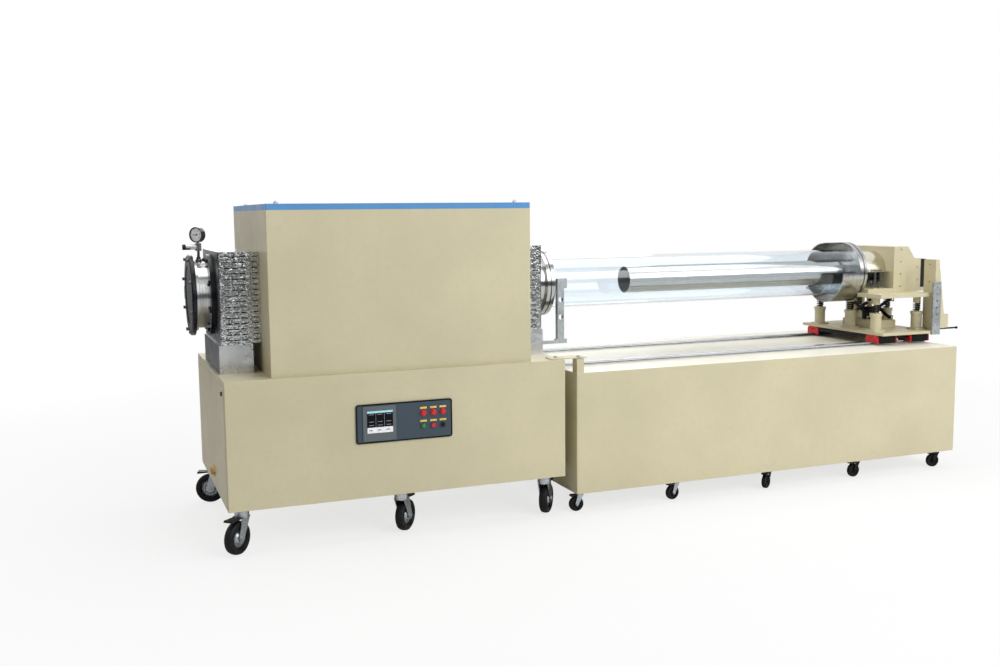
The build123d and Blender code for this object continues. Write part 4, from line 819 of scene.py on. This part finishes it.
def build_number(name, text, place, dial):
    curve = bpy.data.curves.new(name, "FONT")
    curve.body = text
    curve.size = NUMBER_SIZE
    curve.extrude = NUMBER_DEPTH
    curve.align_x = "CENTER"
    curve.align_y = "CENTER"
    source = bpy.data.objects.new(name + "_curve", curve)
    bpy.context.scene.collection.objects.link(source)
    bpy.context.view_layer.update()
    mesh = bpy.data.meshes.new_from_object(source)
    bpy.data.objects.remove(source)
    mesh.materials.clear()
    mesh.materials.append(M["dial_black"])
    number = bpy.data.objects.new(name, mesh)
    bpy.context.scene.collection.objects.link(number)
    turn = Matrix((dial.across, dial.up, dial.out)).transposed().to_4x4()
    number.matrix_world = Matrix.Translation(place) @ turn
    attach(number, "furnace")


PANEL_THICK = 0.006
BEZEL_LEFT = 0.031          # from the panel's left end
BEZEL_BOTTOM = 0.010
BEZEL_RISE = 0.005


def panel_sheet(low_x, low_z, face_y):
    """A sheet whose zero is at a left lower corner, facing the front."""
    return Sheet(Vector((low_x, face_y, low_z)), Vector((1, 0, 0)), Vector((0, 0, 1)), Vector((0, -1, 0)))


SCREEN = (0.020, 0.140, 0.037, 0.138)       # left, right, bottom and top on the bezel
WHITE_BAND = 0.26           # shares of the screen's height
BLUE_BAND = 0.09
COLUMNS = 3
ROWS = (0.93, 0.42, 0.18)   # shares of the height between the bands
ROW_DROP = 0.003
ROW_HEIGHT = 0.0022
ROW_SPAN = (0.22, 0.78)     # shares of a column's width
DIVIDER_HALF_WIDTH = 0.0006
KEY_SPAN = (0.2, 0.6)       # shares of a column's width
KEY_RISE = (0.4, 0.62)      # shares of the white band's height
GLASS_LAYER = (0.0, 0.0006)
INK_LAYER = (0.0005, 0.0009)
KEY_LAYER = (0.0008, 0.0012)


def build_screen():
    low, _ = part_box("control_panel")
    sheet = panel_sheet(low.x + BEZEL_LEFT, low.z + BEZEL_BOTTOM, BASE_FRONT - PANEL_THICK - BEZEL_RISE)
    left, right, bottom, top = SCREEN
    white_top = bottom + WHITE_BAND * (top - bottom)
    blue_bottom = top - BLUE_BAND * (top - bottom)
    across = (left, right)
    sheet.bar("screen_glass", across, (bottom, top), GLASS_LAYER, M["screen_black"])
    sheet.bar("screen_lower_band", across, (bottom, white_top), INK_LAYER, M["screen_white"])
    sheet.bar("screen_title_band", across, (blue_bottom, top), INK_LAYER, M["screen_blue"])
    step = (right - left) / COLUMNS
    for column in range(COLUMNS):
        start = left + column * step
        row_across = [start + share * step for share in ROW_SPAN]
        for row, share in enumerate(ROWS):
            v = white_top + share * (blue_bottom - white_top) - ROW_DROP
            sheet.bar(f"screen_value_{column}_{row}", row_across, (v, v + ROW_HEIGHT), INK_LAYER,
                      M["screen_grey"])
        if column:
            sheet.bar(f"screen_divider_{column}", (start - DIVIDER_HALF_WIDTH, start + DIVIDER_HALF_WIDTH),
                      (white_top, blue_bottom), INK_LAYER, M["screen_grey"])
        key_across = [start + share * step for share in KEY_SPAN]
        key_up = [bottom + share * (white_top - bottom) for share in KEY_RISE]
        sheet.bar(f"screen_key_{column}", key_across, key_up, KEY_LAYER, M["screen_grey"])


BORDER = 0.0065
BORDER_CORNER = 0.012
BORDER_RISE = 0.0008
CORNER_STEPS = 6


def rounded(left, right, bottom, top, radius):
    """The outline of a rectangle with round corners, from its upper right corner on."""
    middles = ((right - radius, top - radius), (left + radius, top - radius),
               (left + radius, bottom + radius), (right - radius, bottom + radius))
    outline = []
    for corner, (u, v) in enumerate(middles):
        for step in range(CORNER_STEPS + 1):
            angle = math.radians(90 * (corner + step / CORNER_STEPS))
            outline.append((u + radius * math.cos(angle), v + radius * math.sin(angle)))
    return outline


def build_panel_border():
    low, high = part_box("control_panel")
    wide, tall = high.x - low.x, high.z - low.z
    sheet = panel_sheet(low.x, low.z, BASE_FRONT - PANEL_THICK)
    outer = rounded(0, wide, 0, tall, BORDER_CORNER)
    inner = rounded(BORDER, wide - BORDER, BORDER, tall - BORDER, BORDER_CORNER - BORDER)
    count = len(outer)
    points = [sheet.at(u, v, w) for w in (0.0, BORDER_RISE) for ring in (outer, inner) for u, v in ring]
    low_out, low_in, top_out, top_in = 0, count, 2 * count, 3 * count
    faces = []
    for i in range(count):
        j = (i + 1) % count
        faces.append((top_out + i, top_out + j, top_in + j, top_in + i))
        faces.append((low_out + i, low_out + j, top_out + j, top_out + i))
        faces.append((low_in + i, top_in + i, top_in + j, low_in + j))
        faces.append((low_out + i, low_in + i, low_in + j, low_out + j))
    mesh_piece("panel_border", points, faces, M["black_trim"])


BEAD_COUNT = 8
BEAD_SPAN = (0.10, 0.95)    # share of the carrier's length where the first and last bead lie
BEAD_LENGTH = 0.046
BEAD_ANGLES = (22.0, 52.0)  # degrees above the tube's front line, along one bead
BEAD_RADIUS = 0.0026
BEAD_ENDS = 0.55            # share of that radius at a bead's two ends
BEAD_SINK = 0.0003          # how far the beads' centre line lies inside the tube's surface
BEAD_STEPS = 8
BEAD_SIDES = 6


def build_weld_beads():
    """Short slanting weld beads on the carrier tube's upper front."""
    low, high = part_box("carrier_tube")
    radius = high.z - TUBE_Z
    for bead in range(BEAD_COUNT):
        share = BEAD_SPAN[0] + (BEAD_SPAN[1] - BEAD_SPAN[0]) * bead / (BEAD_COUNT - 1)
        start = low.x + share * (high.x - low.x)
        points, faces = [], []
        for step in range(BEAD_STEPS + 1):
            t = step / BEAD_STEPS
            angle = math.radians(BEAD_ANGLES[0] + (BEAD_ANGLES[1] - BEAD_ANGLES[0]) * t)
            swell = BEAD_RADIUS * (BEAD_ENDS + (1 - BEAD_ENDS) * math.sin(math.pi * t))
            for side in range(BEAD_SIDES):
                around = 2 * math.pi * side / BEAD_SIDES
                reach = radius - BEAD_SINK + swell * math.sin(around)
                points.append((start + BEAD_LENGTH * t + swell * math.cos(around),
                               -reach * math.cos(angle), TUBE_Z + reach * math.sin(angle)))
        for step in range(BEAD_STEPS):
            for side in range(BEAD_SIDES):
                a, b = step * BEAD_SIDES + side, step * BEAD_SIDES + (side + 1) % BEAD_SIDES
                faces.append((a, b, b + BEAD_SIDES, a + BEAD_SIDES))
        faces.append(tuple(range(BEAD_SIDES)))
        faces.append(tuple(BEAD_STEPS * BEAD_SIDES + side for side in range(BEAD_SIDES)))
        mesh_piece(f"weld_bead_{bead}", points, faces, M["carrier_steel"], "platform", smooth=True)


make_camera()
make_world()
make_floor()
make_cards()
make_lights()
make_materials()
dress_furnace()
dress_panel()
dress_table()
dress_carriage()
dress_casters()
build_gauge_face()
build_screen()
build_panel_border()
build_weld_beads()

bpy.context.scene.view_settings.view_transform = "Standard"
